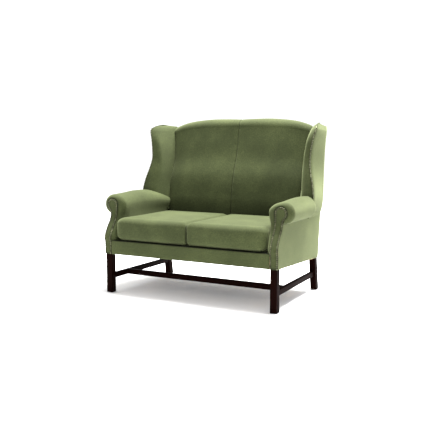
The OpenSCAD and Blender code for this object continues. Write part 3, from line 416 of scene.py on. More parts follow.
cadMaterials = {
    "velvet": velvet, "velvet_shade": velvet, "mahogany": mahogany, "bronze": bronze,
    "black_cloth": blackCloth,
    "beech": woodMaterial("beech", (0.42, 0.27, 0.14), (0.62, 0.44, 0.25), 0.6, 0.4),
    "steel": metalMaterial("steel", (0.35, 0.36, 0.37), (0.6, 0.61, 0.62), 0.4),
    "foam": weaveMaterial("foam", (0.72, 0.66, 0.48), (0.86, 0.82, 0.66), 260.0),
    "hessian": weaveMaterial("hessian", (0.22, 0.15, 0.07), (0.5, 0.38, 0.2), 120.0),
}
for part in frame["record"]["subparts"]:
    cadMesh = frame["nodes"][part["node"]].data
    cadMesh.materials.clear()
    cadMesh.materials.append(cadMaterials[part["material_slot"]])
print("materials made")

# Inside back: two panels that meet in a sewn seam
backLook = {
    "seamShare": 0.045, "edgeShare": 0.93, "acrossSeam": 26, "across": 44, "acrossEdge": 18, "up": 150,
    "reach": 1.03, "sunk": 6, "rearRound": 0.4, "rearDrop": 10, "rearGap": 1.0, "armTop": 641, "tucked": 3,
    "bulge": 7.0, "bulgeTop": 560, "seamDepth": 4.5, "seamWidth": 3.2, "tuck": 9.0, "tuckReach": 9.0,
    "unevenness": 1.2, "ripple": 420, "pucker": 0.5, "puckerWidth": 26, "puckerPitch": 9.0,
    "seamShade": 0.6, "seamShadeWidth": 2.6, "edgeShadeReach": 7.0, "footShade": 0.35,
    "footShadeLow": 470, "footShadeHigh": 620,
}


def backPanel(side, sign):
    # A sheet from the deck up the front, round the crest and over to the rear. It follows the back's
    # front curve, shortened towards the wings, then swells between its edges and sinks at the seam.
    look = backLook
    share = np.concatenate([np.linspace(0, look["seamShare"], look["acrossSeam"], endpoint=False),
                            np.linspace(look["seamShare"], look["edgeShare"], look["across"], endpoint=False),
                            np.linspace(look["edgeShare"], 1, look["acrossEdge"])])
    top = crestAt(share * body["inside"] * look["reach"])
    grow = (top - body["deck"]) / (body["height"] - body["deck"])
    roundIn, roundOut = body["crestRound"] * grow, body["crestRound"] * look["rearRound"]
    low = body["deck"] - look["sunk"]
    level = np.linspace(0, 1, look["up"])[None, :]
    frontZ = low + (top - roundIn - low)[:, None] * level
    frontD = frontAt((frontZ - body["deck"]) / grow[:, None] + body["deck"])
    a = np.radians(np.linspace(0, 90, 18))[None, 1:]
    crestZ = (top - roundIn)[:, None] + roundIn[:, None] * np.sin(a)
    crestD = frontD[:, -1:] + roundIn[:, None] * (1 - np.cos(a))
    b = np.radians(np.linspace(0, 90, 14))[None, 1:]
    rearD = mix(crestD[:, -1:], (rearAt(top - roundOut) - look["rearGap"])[:, None], np.sin(b))
    rearZ = top[:, None] - (roundOut + look["rearDrop"]) * (1 - np.cos(b))
    d = np.concatenate([frontD, crestD, rearD], 1)
    z = np.concatenate([frontZ, crestZ, rearZ], 1)
    beside = np.where(z < look["armTop"], body["inside"], np.inf)
    half = np.minimum(wingFaceAt(d, z), beside) + look["tucked"]
    x = share[:, None] * half
    gap = half - x
    amount = (look["bulge"] * (1 - (2 * share[:, None] - 1) ** 2) * smooth(body["deck"], look["bulgeTop"], z)
              - look["seamDepth"] * bump(x, 0, look["seamWidth"])
              - look["tuck"] * np.exp(-gap / look["tuckReach"])
              + look["unevenness"] * ripple(x, z, 5, look["ripple"])
              + look["pucker"] * bump(x, 0, look["puckerWidth"]) * np.sin(z / look["puckerPitch"]))
    points = swell(np.stack([x, fy(d), z], -1), amount, (0, -1, 0.3))
    points[..., 0] = np.maximum(points[..., 0], 0)
    points[0, :, 0] = 0
    # Painted shade: darker at the seam, against the wings and arms, and towards the deck
    paintedShade = (look["seamShade"] * bump(x, 0, look["seamShadeWidth"]) + np.exp(-gap / look["edgeShadeReach"])
            + look["footShade"] * (1 - smooth(look["footShadeLow"], look["footShadeHigh"], z)))
    ob = gridObject("insideBack_" + side, points * [sign, 1, 1], velvet, out=(0, -1, 0.4),
                    creaseAndShade=paintedShade)
    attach(ob, "settee")
    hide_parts("inside_back_cover_" + side, "back_padding")


pair(backPanel)
print("inside back made")

# Wings: inner face, rolled front and outer edge in one closed form
wingLook = {
    "low": 497.0, "levels": 130, "topRound": 26.0, "topSteps": 22, "fall": 13.0, "fallFrom": 0.75,
    "drawFrom": 0.93, "draw": 90.0, "rootReach": 0.1, "lipReach": 0.46, "edgeReach": 0.1, "heelReach": 0.1,
    "heelIn": 1.5, "grooveAndShade": 0.75, "shadeLineIn": 1.5, "shadeLineWidth": 5.5, "shadeLineFoot": 625,
}


def roundedRing(corners, reaches, counts, spans):
    # Corners are arrays of x and d per level. Each is rounded with a quadratic bend.
    bends = []
    for k, p in enumerate(corners):
        before, after = corners[k - 1] - p, corners[(k + 1) % len(corners)] - p
        start = p + before / np.linalg.norm(before, axis=-1, keepdims=True) * reaches[k][:, None]
        end = p + after / np.linalg.norm(after, axis=-1, keepdims=True) * reaches[k][:, None]
        t = np.linspace(0, 1, counts[k])[None, :, None]
        bends.append(start[:, None] * (1 - t) ** 2 + 2 * p[:, None] * t * (1 - t) + end[:, None] * t**2)
    ring = []
    for k, bend in enumerate(bends):
        t = np.linspace(0, 1, spans[k] + 2)[None, 1:-1, None]
        ring += [bend, bend[:, -1:] * (1 - t) + bends[(k + 1) % len(bends)][:, :1] * t]
    return np.concatenate(ring, 1)


def topDraw(s):
    # How far a wing's outline draws in near its top
    return wingLook["draw"] * np.maximum(s - wingLook["drawFrom"], 0)


def wingPiece(side, sign):
    # Level rings through root, lip, edge and heel, drawn in and tipped back towards a rounded top
    look = wingLook
    top, bend = body["wingTop"], look["topRound"]
    straight = np.linspace(0, 1, look["levels"])
    a = np.radians(np.linspace(0, 88, look["topSteps"]))[1:]
    z = np.concatenate([look["low"] + (top - bend - look["low"]) * straight, top - bend + bend * np.sin(a)])
    s = wingShare(z)
    root, lip, edge, heel = wingCorners(s)
    draw = np.concatenate([0 * straight, bend * (1 - np.cos(a))]) + topDraw(s)
    root = root + np.stack([draw * 0.4, 0 * draw], -1)
    lip = lip + np.stack([draw * 0.8, draw * 0.9], -1)
    edge = edge + np.stack([-draw * 0.9, draw * 0.9], -1)
    heel = heel + np.stack([-draw * 0.9 - look["heelIn"], -draw * 0.2], -1)
    band = np.linalg.norm(lip - edge, axis=-1)
    reaches = [band * look[key] for key in ("rootReach", "lipReach", "edgeReach", "heelReach")]
    ring = roundedRing([root, lip, edge, heel], reaches, [4, 18, 8, 5], [46, 10, 26, 12])
    back = np.clip((ring[..., 1:] - lip[:, None, 1:]) / (heel - lip)[:, None, 1:], 0, 1)
    height = z[:, None, None] - look["fall"] * back * smooth(look["fallFrom"], 1, s)[:, None, None]
    points = np.concatenate([ring[..., :1], fy(ring[..., 1:]), height], -1)
    # Painted shade: a dark line along the nails on the wing's rounded edge, above the line's foot
    nailLine = edge + [-look["shadeLineIn"], look["shadeLineIn"]]
    away = np.linalg.norm(ring - nailLine[:, None], axis=-1)
    paintedShade = look["grooveAndShade"] * bump(away, 0, look["shadeLineWidth"]) * (z[:, None] > look["shadeLineFoot"])
    paintedShade = np.concatenate([paintedShade, 0 * paintedShade[:2]], 0)
    cap = points[-1].mean(0) * np.ones_like(points[-1:])
    points = np.concatenate([points, mix(points[-1:], cap, 0.6) + [0, 0, 0.6], cap + [0, 0, 0.8]], 0)
    ob = gridObject("wing_" + side, points * [sign, 1, 1], velvet, closed=True, weld=0.05,
                    creaseAndShade=paintedShade)
    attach(ob, "settee")
    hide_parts("wing_cover_" + side, "wing_padding_" + side)


pair(wingPiece)
print("wings made")

# Outside of the arm and the wing, one panel to the rear corner
sideLook = {
    "rowsBelow": 70, "rowsAbove": 120, "columns": 90, "split": 0.42, "low": 240, "underTop": 9, "off": 0.5,
    "joinLow": 498, "joinHigh": 575, "armFront": 4.3, "wingFront": 6, "rearGap": 1.0, "sweepEnd": 500,
    "spreadLow": 495, "spreadHigh": 545, "proud": 1.6, "proudHigh": 560, "inset": 0.4, "drawPart": 0.9,
    "crown": 3.0, "crownReach": 40, "crownRise": 60, "crownLow": 0.6, "crownFrom": 500, "crownTo": 700,
    "unevenness": 0.7, "ripple": 380, "frontTurn": 6, "frontReach": 3.0, "frontFull": 600,
    "rearTurn": 4, "rearReach": 2.5, "footTurn": 5, "footReach": 2.5,
}


def sidePanel(side, sign):
    # Rows from the lower edge to the wing's top, columns from the arm front or wing edge to the rear.
    # The face crowns a little between its edges and turns in along them.
    look = sideLook
    split, low = look["split"], look["low"]
    v = np.concatenate([np.linspace(0, split, look["rowsBelow"], endpoint=False),
                        np.linspace(split, 1, look["rowsAbove"])])[:, None]
    u = np.linspace(0, 1, look["columns"])[None, :]
    reach = body["wingTop"] - look["underTop"] - low
    z = low + reach * v + 0 * u
    s = np.clip(wingShare(z), 0, 1)
    _, _, edge, heel = wingCorners(s)
    front = mix(sweepAt(np.minimum(z, look["sweepEnd"])) + look["armFront"], edge[..., 1] + look["wingFront"],
                smooth(look["joinLow"], look["joinHigh"], z))
    rear = rearAt(z) - look["rearGap"]
    d = mix(front, rear, u)
    foot = bottomAt(d) + look["off"]
    z = np.where(v < split, foot + (z - low) * (low + reach * split - foot) / (reach * split), z)
    along = np.clip((rear - d) / (rear - edge[..., 1]), 0, 1)
    wingX = mix(heel[..., 0], edge[..., 0], along)
    x = (mix(halfAt(d), wingX, smooth(look["spreadLow"], look["spreadHigh"], z))
         + look["proud"] * smooth(look["spreadLow"], look["proudHigh"], z) - look["inset"])
    x = x - topDraw(s) * look["drawPart"]
    inside = np.minimum(d - front, rear - d) / look["crownReach"]
    crown = look["crown"] * (1 - cornerDip(inside)) * smooth(0, look["crownRise"], z - foot)
    x = (x + crown * mix(look["crownLow"], 1, smooth(look["crownFrom"], look["crownTo"], z))
         + look["unevenness"] * ripple(d, z, 21, look["ripple"]))
    x = (x - look["frontTurn"] * np.exp(-(d - front) / look["frontReach"])
         * smooth(look["crownFrom"], look["frontFull"], z)
         - look["rearTurn"] * np.exp(-(rear - d) / look["rearReach"])
         - look["footTurn"] * np.exp(-(z - foot) / look["footReach"]))
    back = np.clip((d - edge[..., 1]) / (heel[..., 1] - edge[..., 1]), 0, 1)
    fall = wingLook["fall"] * back * smooth(wingLook["fallFrom"], 1, s)
    points = np.stack([x, fy(d), z - fall], -1)
    ob = gridObject("outside_" + side, points * [sign, 1, 1], velvet, out=(sign, 0, 0))
    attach(ob, "settee")
    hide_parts("outside_arm_cover_" + side, "outside_wing_cover_" + side)


pair(sidePanel)
print("outside panels made")

# Arms: a profile carried back from the facing, rounded at the front and at the roll's end
armLook = {
    "inner": 509.0, "innerLow": 334, "innerHigh": 560, "rollX": 598, "rollZ": 566, "roll": 63,
    "topDrop": 2, "creaseX": 600.0, "creaseZ": 499.0, "frontRound": 36.0, "rearRound": 46.0, "front": 3.0,
    "sweepEnd": 600, "bulge": 9.0, "rearBulge": 27.0, "bulgeZ": 565, "bulgeHeight": 58, "flare": 22,
    "flareFront": 9, "flareDepth": 141, "rearInner": 690.0, "rearOuter": 486.0, "closeX": 596.0,
    "closeZ": 560, "closeShare": 0.35, "riseFrom": 495, "riseOver": 134, "unevenness": 0.8, "ripple": 260,
    "frontShade": 0.9, "creaseShade": 498, "creaseShadeReach": 6, "creaseShadeX": 585,
}
facing = {
    "in": 549.0, "middle": 586.4, "halfWidth": 37.4, "halfHeight": 39.0, "low": 300, "creaseX": 601.0,
    "creaseZ": 503.0, "edge": 3.5, "edgeDepth": 3.8, "crown": 0.6, "grooveDepth": 2.0, "grooveAndShade": 4.5,
    "grooveShade": 0.8, "rimShade": 0.5, "rimShadeReach": 1.5,
}


def arc(x, z, across, up, start, end, count):
    a = np.radians(np.linspace(start, end, count))
    return np.stack([x + across * np.cos(a), z + up * np.sin(a)], -1)


def armProfile():
    # Outline of the pad and the matching outline of the facing, from the inner foot over the roll
    # to the crease below it
    rollX, rollZ, roll = armLook["rollX"], armLook["rollZ"], armLook["roll"]
    rise, over, under, creaseAndShade = 40, 30, 50, 9
    high = armLook["innerHigh"]
    pad = [np.stack([np.full(rise, armLook["inner"]), np.linspace(armLook["innerLow"], high, rise)], -1),
           arc(rollX, rollZ - armLook["topDrop"], rollX - armLook["inner"], roll + armLook["topDrop"],
               180, 90, over),
           arc(rollX, rollZ, roll, roll, 88, -78, under)]
    scroll = facing["middle"], rollZ, facing["halfWidth"], facing["halfHeight"]
    face = [np.stack([np.full(rise, facing["in"]), np.linspace(facing["low"], high, rise)], -1),
            arc(*scroll, 180, 100, over),
            arc(*scroll, 98, -50, under)]
    t = np.linspace(0, 1, creaseAndShade + 1)[1:, None]
    pad.append(mix(pad[-1][-1], np.array([armLook["creaseX"], armLook["creaseZ"]]), t))
    face.append(mix(face[-1][-1], np.array([facing["creaseX"], facing["creaseZ"]]), t))
    return np.concatenate(pad), np.concatenate(face)


def armPiece(side, sign):
    # Sections of the profile from front to rear. The first ones grow from the facing's outline to the
    # pad's along a quarter circle, and the last ones draw the roll in to its end.
    look = armLook
    pad, face = armProfile()
    place = np.arange(len(pad))
    outer = smooth(62, 72, place)
    padX, padZ = pad.T
    inward = (place < 75) * (1 - smooth(525, 575, padX))
    low = 1 - smooth(490, look["innerHigh"], padZ)
    full = bump(padZ, look["bulgeZ"], look["bulgeHeight"])

    def flared(d, x):
        # The pad spreads over the cushion's front corner and swells inward further back
        spread = look["flare"] * np.clip(1 - (d - look["flareFront"]) / look["flareDepth"], 0, 1) * low
        belly = smooth(80, 110, d) * mix(look["bulge"], look["rearBulge"], smooth(200, 600, d))
        return x + inward * (spread - full * belly)

    sections = []
    quarter = np.radians(np.linspace(0, 90, 14))
    for k in quarter:
        section = mix(face, pad, np.sin(k))
        stand = sweepAt(np.minimum(section[:, 1], look["sweepEnd"])) + look["front"]
        sections.append((section, stand + look["frontRound"] * (1 - np.cos(k))))
    rear = mix(look["rearInner"], look["rearOuter"], outer)
    start, drawn = sections[-1][1], look["rearRound"] * outer
    for t in np.linspace(0, 1, 46)[1:]:
        sections.append((pad, mix(start, rear - drawn, t)))
    close = np.stack([np.full(len(pad), look["closeX"]), mix(padZ, look["closeZ"], look["closeShare"])], -1)
    for k in quarter[1:]:
        section = mix(pad, mix(pad, close, outer[:, None]), 1 - np.cos(k))
        sections.append((section, rear - drawn * (1 - np.sin(k))))
    points = []
    for section, d in sections:
        x, z = flared(d, section[:, 0]), section[:, 1]
        lift = np.clip((z - look["riseFrom"]) / look["riseOver"], 0, 1) * riseAt(d)
        points.append(np.stack([x, fy(d), z + lift], -1))
    points = np.array(points)
    row = np.arange(len(points))[:, None]
    soft = look["unevenness"] * ripple(points[..., 1], points[..., 2] + points[..., 0], 31, look["ripple"])
    points = swell(points, soft * smooth(0, 12, row), (0, 0, 1))
    # Painted shade: the first rows at the facing and the underside below the roll's crease are darkened
    paintedShade = (look["frontShade"] * bump(row, 0, 1.5)
            + np.exp((look["creaseShade"] - points[..., 2]) / look["creaseShadeReach"])
            * (points[..., 0] > look["creaseShadeX"]))
    ob = gridObject("arm_" + side, points * [sign, 1, 1], velvet, out=(0, 0, 1), creaseAndShade=paintedShade)
    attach(ob, "settee")
    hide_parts("arm_cover_" + side, "arm_padding_" + side)


pair(armPiece)
print("arms made")

# Nail heads: low domes set at one pitch along a line on the cloth
nails = {"diameter": 9.8, "height": 3.0, "pitch": 11.6, "inset": 6.0, "sunk": 0.6, "tilt": 0.05}


# Facings: flat panels with soft edges, swept back with the arm front
def facingSides(z):
    # x of the facing's inner and outer edge: straight below, and round about the scroll
    t = np.clip((z - armLook["rollZ"]) / facing["halfHeight"], -1, 1)
    scroll = facing["halfWidth"] * np.sqrt(1 - t**2)
    outerRows = np.array([[200, 601], [500, 601], [515, 601.6], [528.6, 602.6], [536, 610.4], [545, 617.5],
                          [555, 622.2], [566, 623.8]])
    low = z < armLook["rollZ"]
    return (np.where(low, facing["in"], facing["middle"] - scroll),
            np.where(low, np.interp(z, outerRows[:, 0], outerRows[:, 1]), facing["middle"] + scroll))


def facingPiece(side, sign):
    look, foot = facing, body["legTop"]
    scrollTop = armLook["rollZ"] + look["halfHeight"] * np.sin(np.radians(np.linspace(0, 90, 40)))
    z = np.concatenate([foot + np.array([0, 0.6, 1.5, 3]), np.linspace(foot + 5, 560, 120), scrollTop])
    left, right = facingSides(z)
    u = 0.5 - 0.5 * np.cos(np.linspace(0, np.pi, 29))
    x = mix(left[:, None], right[:, None], u[None, :])
    near = np.minimum(x - left[:, None], right[:, None] - x)
    near = np.minimum(near, np.minimum(z - foot, body["facingTop"] - z)[:, None])
    grooveAndShade = bump(near, nails["inset"], look["grooveAndShade"])
    d = (sweepAt(z)[:, None] + look["edgeDepth"] * cornerDip(near / look["edge"])
         - look["crown"] * smooth(4, 20, near) + look["grooveDepth"] * grooveAndShade)
    points = np.stack([x, fy(d), np.repeat(z[:, None], len(u), 1)], -1)
    # Painted shade: darker in the nail groove and at the rim, on top of the real groove in the surface
    paintedShade = look["grooveShade"] * grooveAndShade + look["rimShade"] * np.exp(-near / look["rimShadeReach"])
    ob = gridObject("facing_" + side, points * [sign, 1, 1], velvet, out=(0, -1, 0),
                    weld=0.02, creaseAndShade=paintedShade)
    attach(ob, "settee")
    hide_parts("arm_facing_" + side)


pair(facingPiece)

# Front border: a padded strip between the facings, with a lip turned in below the cushions
border = {
    "gap": 0.6, "edge": 5, "edgeDepth": 4, "end": 3, "endDepth": 2.5, "crown": 1.6, "crownReach": 30,
    "unevenness": 0.35, "ripple": 240, "lip": 30, "hem": 4, "shadeReach": 3.0,
}


def borderPiece():
    look, low, high = border, body["legTop"], body["deck"]
    half = facing["in"] - look["gap"]
    across = half * np.sin(np.linspace(-np.pi / 2, np.pi / 2, 160))
    up = low + (high - low) * (0.5 - 0.5 * np.cos(np.pi * np.linspace(0, 1, 40)))
    x, z = np.meshgrid(across, up, indexing="ij")
    near = np.minimum(z - low, high - z)
    d = (body["borderFront"] + look["edgeDepth"] * cornerDip(near / look["edge"])
         + look["endDepth"] * cornerDip((half - np.abs(x)) / look["end"])
         - look["crown"] * smooth(0, look["crownReach"], near))
    d = d + look["unevenness"] * ripple(x, z, 41, look["ripple"]) * smooth(0, 20, near)
    points = np.stack([x, fy(d), z], -1)
    # Painted shade: darker towards the top under the cushions, and the lip below them fully shaded
    paintedShade = np.exp(-(high - z) / look["shadeReach"])
    paintedShade = np.concatenate([paintedShade[:, :1], paintedShade, 1 + 0 * paintedShade[:, :1]], 1)
    points = np.concatenate([points[:, :1] + [0, look["hem"], 0], points,
                             points[:, -1:] + [0, look["lip"], 0]], 1)
    ob = gridObject("frontBorder", points, velvet, out=(0, -1, 0), creaseAndShade=paintedShade)
    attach(ob, "settee")
    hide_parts("front_border_cover")


borderPiece()

# Outside back: one flat panel from the base to just under the crest
outBack = {
    "half": 590.5, "low": 218.3, "underCrest": 22, "edge": 7, "edgeDepth": 3.2, "crown": 0.8,
    "crownReach": 80, "unevenness": 0.5, "ripple": 420,
}


def outsideBack():
    look = outBack
    u = np.sin(np.linspace(-np.pi / 2, np.pi / 2, 120))
    v = 0.5 - 0.5 * np.cos(np.linspace(0, np.pi, 110))
    x = u[:, None] * look["half"] + 0 * v[None, :]
    top = crestAt(x) - look["underCrest"]
    z = look["low"] + (top - look["low"]) * v[None, :]
    near = np.minimum(np.minimum(look["half"] - np.abs(x), z - look["low"]), top - z)
    d = (rearAt(z) - look["edgeDepth"] * cornerDip(near / look["edge"])
         + look["crown"] * smooth(5, look["crownReach"], near)
         + look["unevenness"] * ripple(x, z, 51, look["ripple"]) * smooth(0, 60, near))
    ob = gridObject("outsideBack", np.stack([x, fy(d), z], -1), velvet, out=(0, 1, 0))
    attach(ob, "settee")
    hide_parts("outside_back_cover", "back_webbing")


outsideBack()

# Deck under the cushions, with painted shade strongest along its front, and the thin cloth below the seat
sheetLook = {"unevenness": 0.4, "ripple": 200, "shade": 0.8, "shadeFrom": 30, "shadeTo": 80}
deck = {"half": 508, "front": 14, "rear": 600, "height": body["deck"] - 1, "sag": 3.0}
dust = {"half": 541, "front": 60, "rear": 706, "above": 1.5, "sag": 4.0}


def levelSheet(name, size, heightAt, material, nodes):
    look = sheetLook
    u, v = np.meshgrid(np.linspace(-1, 1, 90), np.linspace(0, 1, 60), indexing="ij")
    x, d = u * size["half"], mix(size["front"], size["rear"], v)
    dip = size["sag"] * (1 - u**2) * np.sin(np.pi * v) + look["unevenness"] * ripple(x, d, 61, look["ripple"])
    # Painted shade: full along the front, easing to a fifth towards the rear; the black cloth's material does
    # not read it
    paintedShade = 1 - look["shade"] * smooth(look["shadeFrom"], look["shadeTo"], d)
    ob = gridObject(name, np.stack([x, fy(d), heightAt(d) - dip], -1), material, out=(0, 0, 1),
                    creaseAndShade=paintedShade)
    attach(ob, "settee")
    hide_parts(*nodes)


levelSheet("deck", deck, lambda d: deck["height"] + 0 * d, velvet,
           ["deck_cover", "deck_pad", "deck_liner"])
levelSheet("dustCover", dust, lambda d: bottomAt(d) + dust["above"], blackCloth,
           ["dust_cover"])
print("facings, border and outside back made")


def domeUnit():
    # One head, its rows from the rim to the crown as shares of the radius and the height
    rows = np.array([[1.0, -0.15], [1.0, 0.06], [0.93, 0.34], [0.78, 0.62], [0.55, 0.84], [0.28, 0.96],
                     [0.02, 1.0]])
    sides = 18
    a = np.linspace(0, 2 * np.pi, sides, endpoint=False)
    r = rows[:, :1] * nails["diameter"] / 2
    points = np.stack([r * np.cos(a), r * np.sin(a), np.repeat(rows[:, 1:] * nails["height"], sides, 1)], -1)
    return points.reshape(-1, 3), gridFaces(len(rows), sides, closed=True)


def unitRows(v):
    return v / np.linalg.norm(v, axis=1, keepdims=True)


def nailRow(name, node, path, normals, sign):
    # Every head is the same dome, turned to the cloth's normal where it sits and tilted a little
    run = np.concatenate([[0], np.cumsum(np.linalg.norm(np.diff(path, axis=0), axis=1))])
    places = np.linspace(0, run[-1], int(round(run[-1] / nails["pitch"])) + 1)
    at = np.stack([np.interp(places, run, path[:, k]) for k in range(3)], -1)
    out = unitRows(np.stack([np.interp(places, run, normals[:, k]) for k in range(3)], -1))
    beside = unitRows(np.cross(out, [0, 0, 1.0]))
    up = np.cross(beside, out)
    tilt = np.random.RandomState(7).normal(0, nails["tilt"], (len(at), 2))
    out = unitRows(out + beside * tilt[:, :1] + up * tilt[:, 1:])
    beside = np.cross(up, out)
    unit, faces = domeUnit()
    points = (at[:, None] + unit[None, :, :1] * beside[:, None] + unit[None, :, 1:2] * up[:, None]
              + unit[None, :, 2:] * out[:, None])
    faces = (faces[None] + (np.arange(len(at)) * len(unit))[:, None, None]).reshape(-1, 4)
    ob = meshObject(name, points.reshape(-1, 3) * [sign, 1, 1], faces if sign > 0 else faces[:, ::-1],
                    bronze)
    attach(ob, "settee")
    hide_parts(node)


def facingNailPath():
    # Up the inner edge, round the scroll, down through the bend below it and along the outer edge
    inset, rollZ = nails["inset"], armLook["rollZ"]
    foot, outerX = 260, 595.0
    inner = np.stack([np.full(80, facing["in"] + inset), np.linspace(foot, rollZ, 80)], -1)
    scroll = arc(facing["middle"], rollZ, facing["halfWidth"] - inset, facing["halfHeight"] - inset,
                 178, -46, 80)
    bend = np.array([[603.5, 531.0], [597.5, 520.0], [595.2, 505.0]])
    outer = np.stack([np.full(70, outerX), np.linspace(500, foot, 70)], -1)
    x, z = np.concatenate([inner, scroll, bend, outer]).T
    path = np.stack([x, fy(sweepAt(z) - nails["sunk"]), z], -1)
    slope = (sweepAt(z + 6) - sweepAt(z - 6)) / 12
    return path, np.stack([0 * x, -np.ones_like(x), slope], -1)


facePath, faceNormals = facingNailPath()
nailRow("armNails_right", "arm_nails_right", facePath, faceNormals, 1)
nailRow("armNails_left", "arm_nails_left", facePath, faceNormals, -1)


def wingNailPath():
    # Along the middle of the wing's rounded edge
    z = np.linspace(632, 1062, 120)
    s = wingShare(z)
    _, lip, edge, heel = wingCorners(s)
    reach = np.linalg.norm(lip - edge, axis=-1)[:, None] * wingLook["edgeReach"]
    inner, outer = edge + unitRows(lip - edge) * reach, edge + unitRows(heel - edge) * reach
    middle = 0.25 * inner + 0.5 * edge + 0.25 * outer + topDraw(s)[:, None] * [-0.9, 0.9]
    path = np.stack([middle[:, 0], fy(middle[:, 1]), z], -1)
    across = np.concatenate([outer - inner, 0 * z[:, None]], 1)
    return path, unitRows(np.cross(across, np.gradient(path, axis=0)))


wingPath, wingNormals = wingNailPath()
nailRow("wingNails_right", "wing_nails_right", wingPath, wingNormals, 1)
nailRow("wingNails_left", "wing_nails_left", wingPath, wingNormals, -1)
print("nails made")

# Seat cushions: boxed and crowned, wider in front of the arms' inner faces
cushion = {
    "split": 1.0, "reach": 528.0, "side": 506.3, "front": 15.2, "rear": 597.0, "foot": 345.0,
    "height": 143.3, "crown": 14.0, "swell": 14.0, "bulge": 8, "flareEnd": 150.0, "topRound": 34.0,
    "lowRound": 30.0, "inset": 2.5, "corner": 40.0, "levels": 56, "lidRings": 39, "footRings": 19,
    "footShade": 1.1, "footShadeReach": 5.0, "splitShade": 0.45, "splitShadeWidth": 5,
}


def cushionRing(draw):
    # Plan of the cushion at one level, drawn in all round
    c = cushion
    left, right, side = c["split"] + draw, c["reach"] - draw, c["side"] - draw
    front, rear = c["front"] + draw, c["rear"] - draw
    corners = [[left, front], [right, front], [side, c["flareEnd"]], [side, rear], [left, rear]]
    reaches = [np.array([share * c["corner"]]) for share in (0.25, 1.5, 0.4, 0.7, 0.4)]
    return roundedRing([np.array([p]) for p in corners], reaches, [8, 14, 4, 8, 6], [46, 8, 34, 40, 44])[0]


def lid(rim, height, count):
    # Rings from the rim to the middle, lifted as a pillow
    shares = np.linspace(0, 1, count + 1)[1:]
    lift = [[0, 0, height * (1 - (1 - k) ** 3)] for k in shares]
    return np.array([mix(rim, rim.mean(0), k) + rise for k, rise in zip(shares, lift)])


def cushionPiece(side, sign):
    # Rings up the sides, rounded in at the foot and the top, swelling between them, with a lid
    c = cushion
    points = []
    for k in 0.5 - 0.5 * np.cos(np.linspace(0, np.pi, c["levels"])):
        near = min(k, 1 - k) * c["height"]
        corner = c["topRound"] if k > 0.5 else c["lowRound"]
        draw = corner * (1 - np.sqrt(1 - (1 - near / corner) ** 2)) if near < corner else 0.0
        full = max(np.sin(np.pi * k), 0) ** 0.8
        ring = cushionRing(draw + c["inset"])
        u = np.clip((ring[:, 0] - c["split"]) / (c["reach"] - c["split"]), 0, 1)
        v = np.clip((ring[:, 1] - c["front"]) / (c["rear"] - c["front"]), 0, 1)
        push = c["swell"] * full * np.sin(np.pi * u) ** 0.6 * np.clip(1 - 2.5 * v, 0, 1)
        bulge = c["bulge"] * full * smooth(0.75, 1, u) * (1 - smooth(0.03, 0.2, v))
        z = c["foot"] + c["height"] * k
        points.append(np.stack([ring[:, 0] + bulge, fy(ring[:, 1] - push), np.full(len(ring), z)], -1))
    points = np.array(points)
    above, top = points[..., 2] - c["foot"], c["height"]
    # Painted shade: darker at the foot, all over the underside and along the split between the cushions
    paintedShade = (c["footShade"] * np.exp(-above / c["footShadeReach"])
            + c["splitShade"] * (points[..., 0] < c["split"] + c["splitShadeWidth"])
            * (1 - smooth(top - 12, top - 2, above)))
    paintedShade = np.concatenate([1 + 0 * paintedShade[:c["footRings"]], paintedShade, 0 * paintedShade[:c["lidRings"]]], 0)
    points = np.concatenate([lid(points[0], 0, c["footRings"])[::-1], points,
                             lid(points[-1], c["crown"], c["lidRings"])], 0)
    ob = gridObject("cushion_" + side, points * [sign, 1, 1], velvet, closed=True, weld=0.05,
                    creaseAndShade=paintedShade)
    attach(ob, side + "_cushion")
    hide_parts("cushion_cover_" + side, "cushion_core_" + side)


pair(cushionPiece)
print("cushions made")

# Legs and stretchers with softened edges
wood = {
    "side": 42.0, "foot": 3.0, "edge": 1.6, "frontOuter": 594.5, "frontFace": 13.54, "frontTop": 322,
    "rearOuter": 584.5, "rake": 38, "barLow": 93.0, "barHigh": 126.0, "barWide": 26.0, "barSet": 20.5,
    "barRake": 3, "sunk": 1, "centreFront": 190,
}


def prism(name, node, lower, upper):
    # A bar between its lower and its upper four corner points
    bm = bmesh.new()
    v = [bm.verts.new(Vector(p) / 1000) for p in [*lower, *upper]]
    for f in ((3, 2, 1, 0), (4, 5, 6, 7), (0, 1, 5, 4), (1, 2, 6, 5), (2, 3, 7, 6), (3, 0, 4, 7)):
        bm.faces.new([v[k] for k in f])
    bmesh.ops.recalc_face_normals(bm, faces=bm.faces)
    bmesh.ops.bevel(bm, geom=bm.edges[:], offset=wood["edge"] / 1000, segments=3, profile=0.6, affect="EDGES")
    me = bpy.data.meshes.new(name)
    bm.to_mesh(me)
    bm.free()
    ob = placed(name, me, mahogany)
    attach(ob, "settee")
    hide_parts(node)


def levelCorners(left, right, front, rear, z, sign=1):
    # Four corner points at one height, left and right given as x or as x in front and behind
    (l0, l1), (r0, r1) = [np.broadcast_to(x, 2) * sign for x in (left, right)]
    return [(l0, fy(front), z), (r0, fy(front), z), (r1, fy(rear), z), (l1, fy(rear), z)]


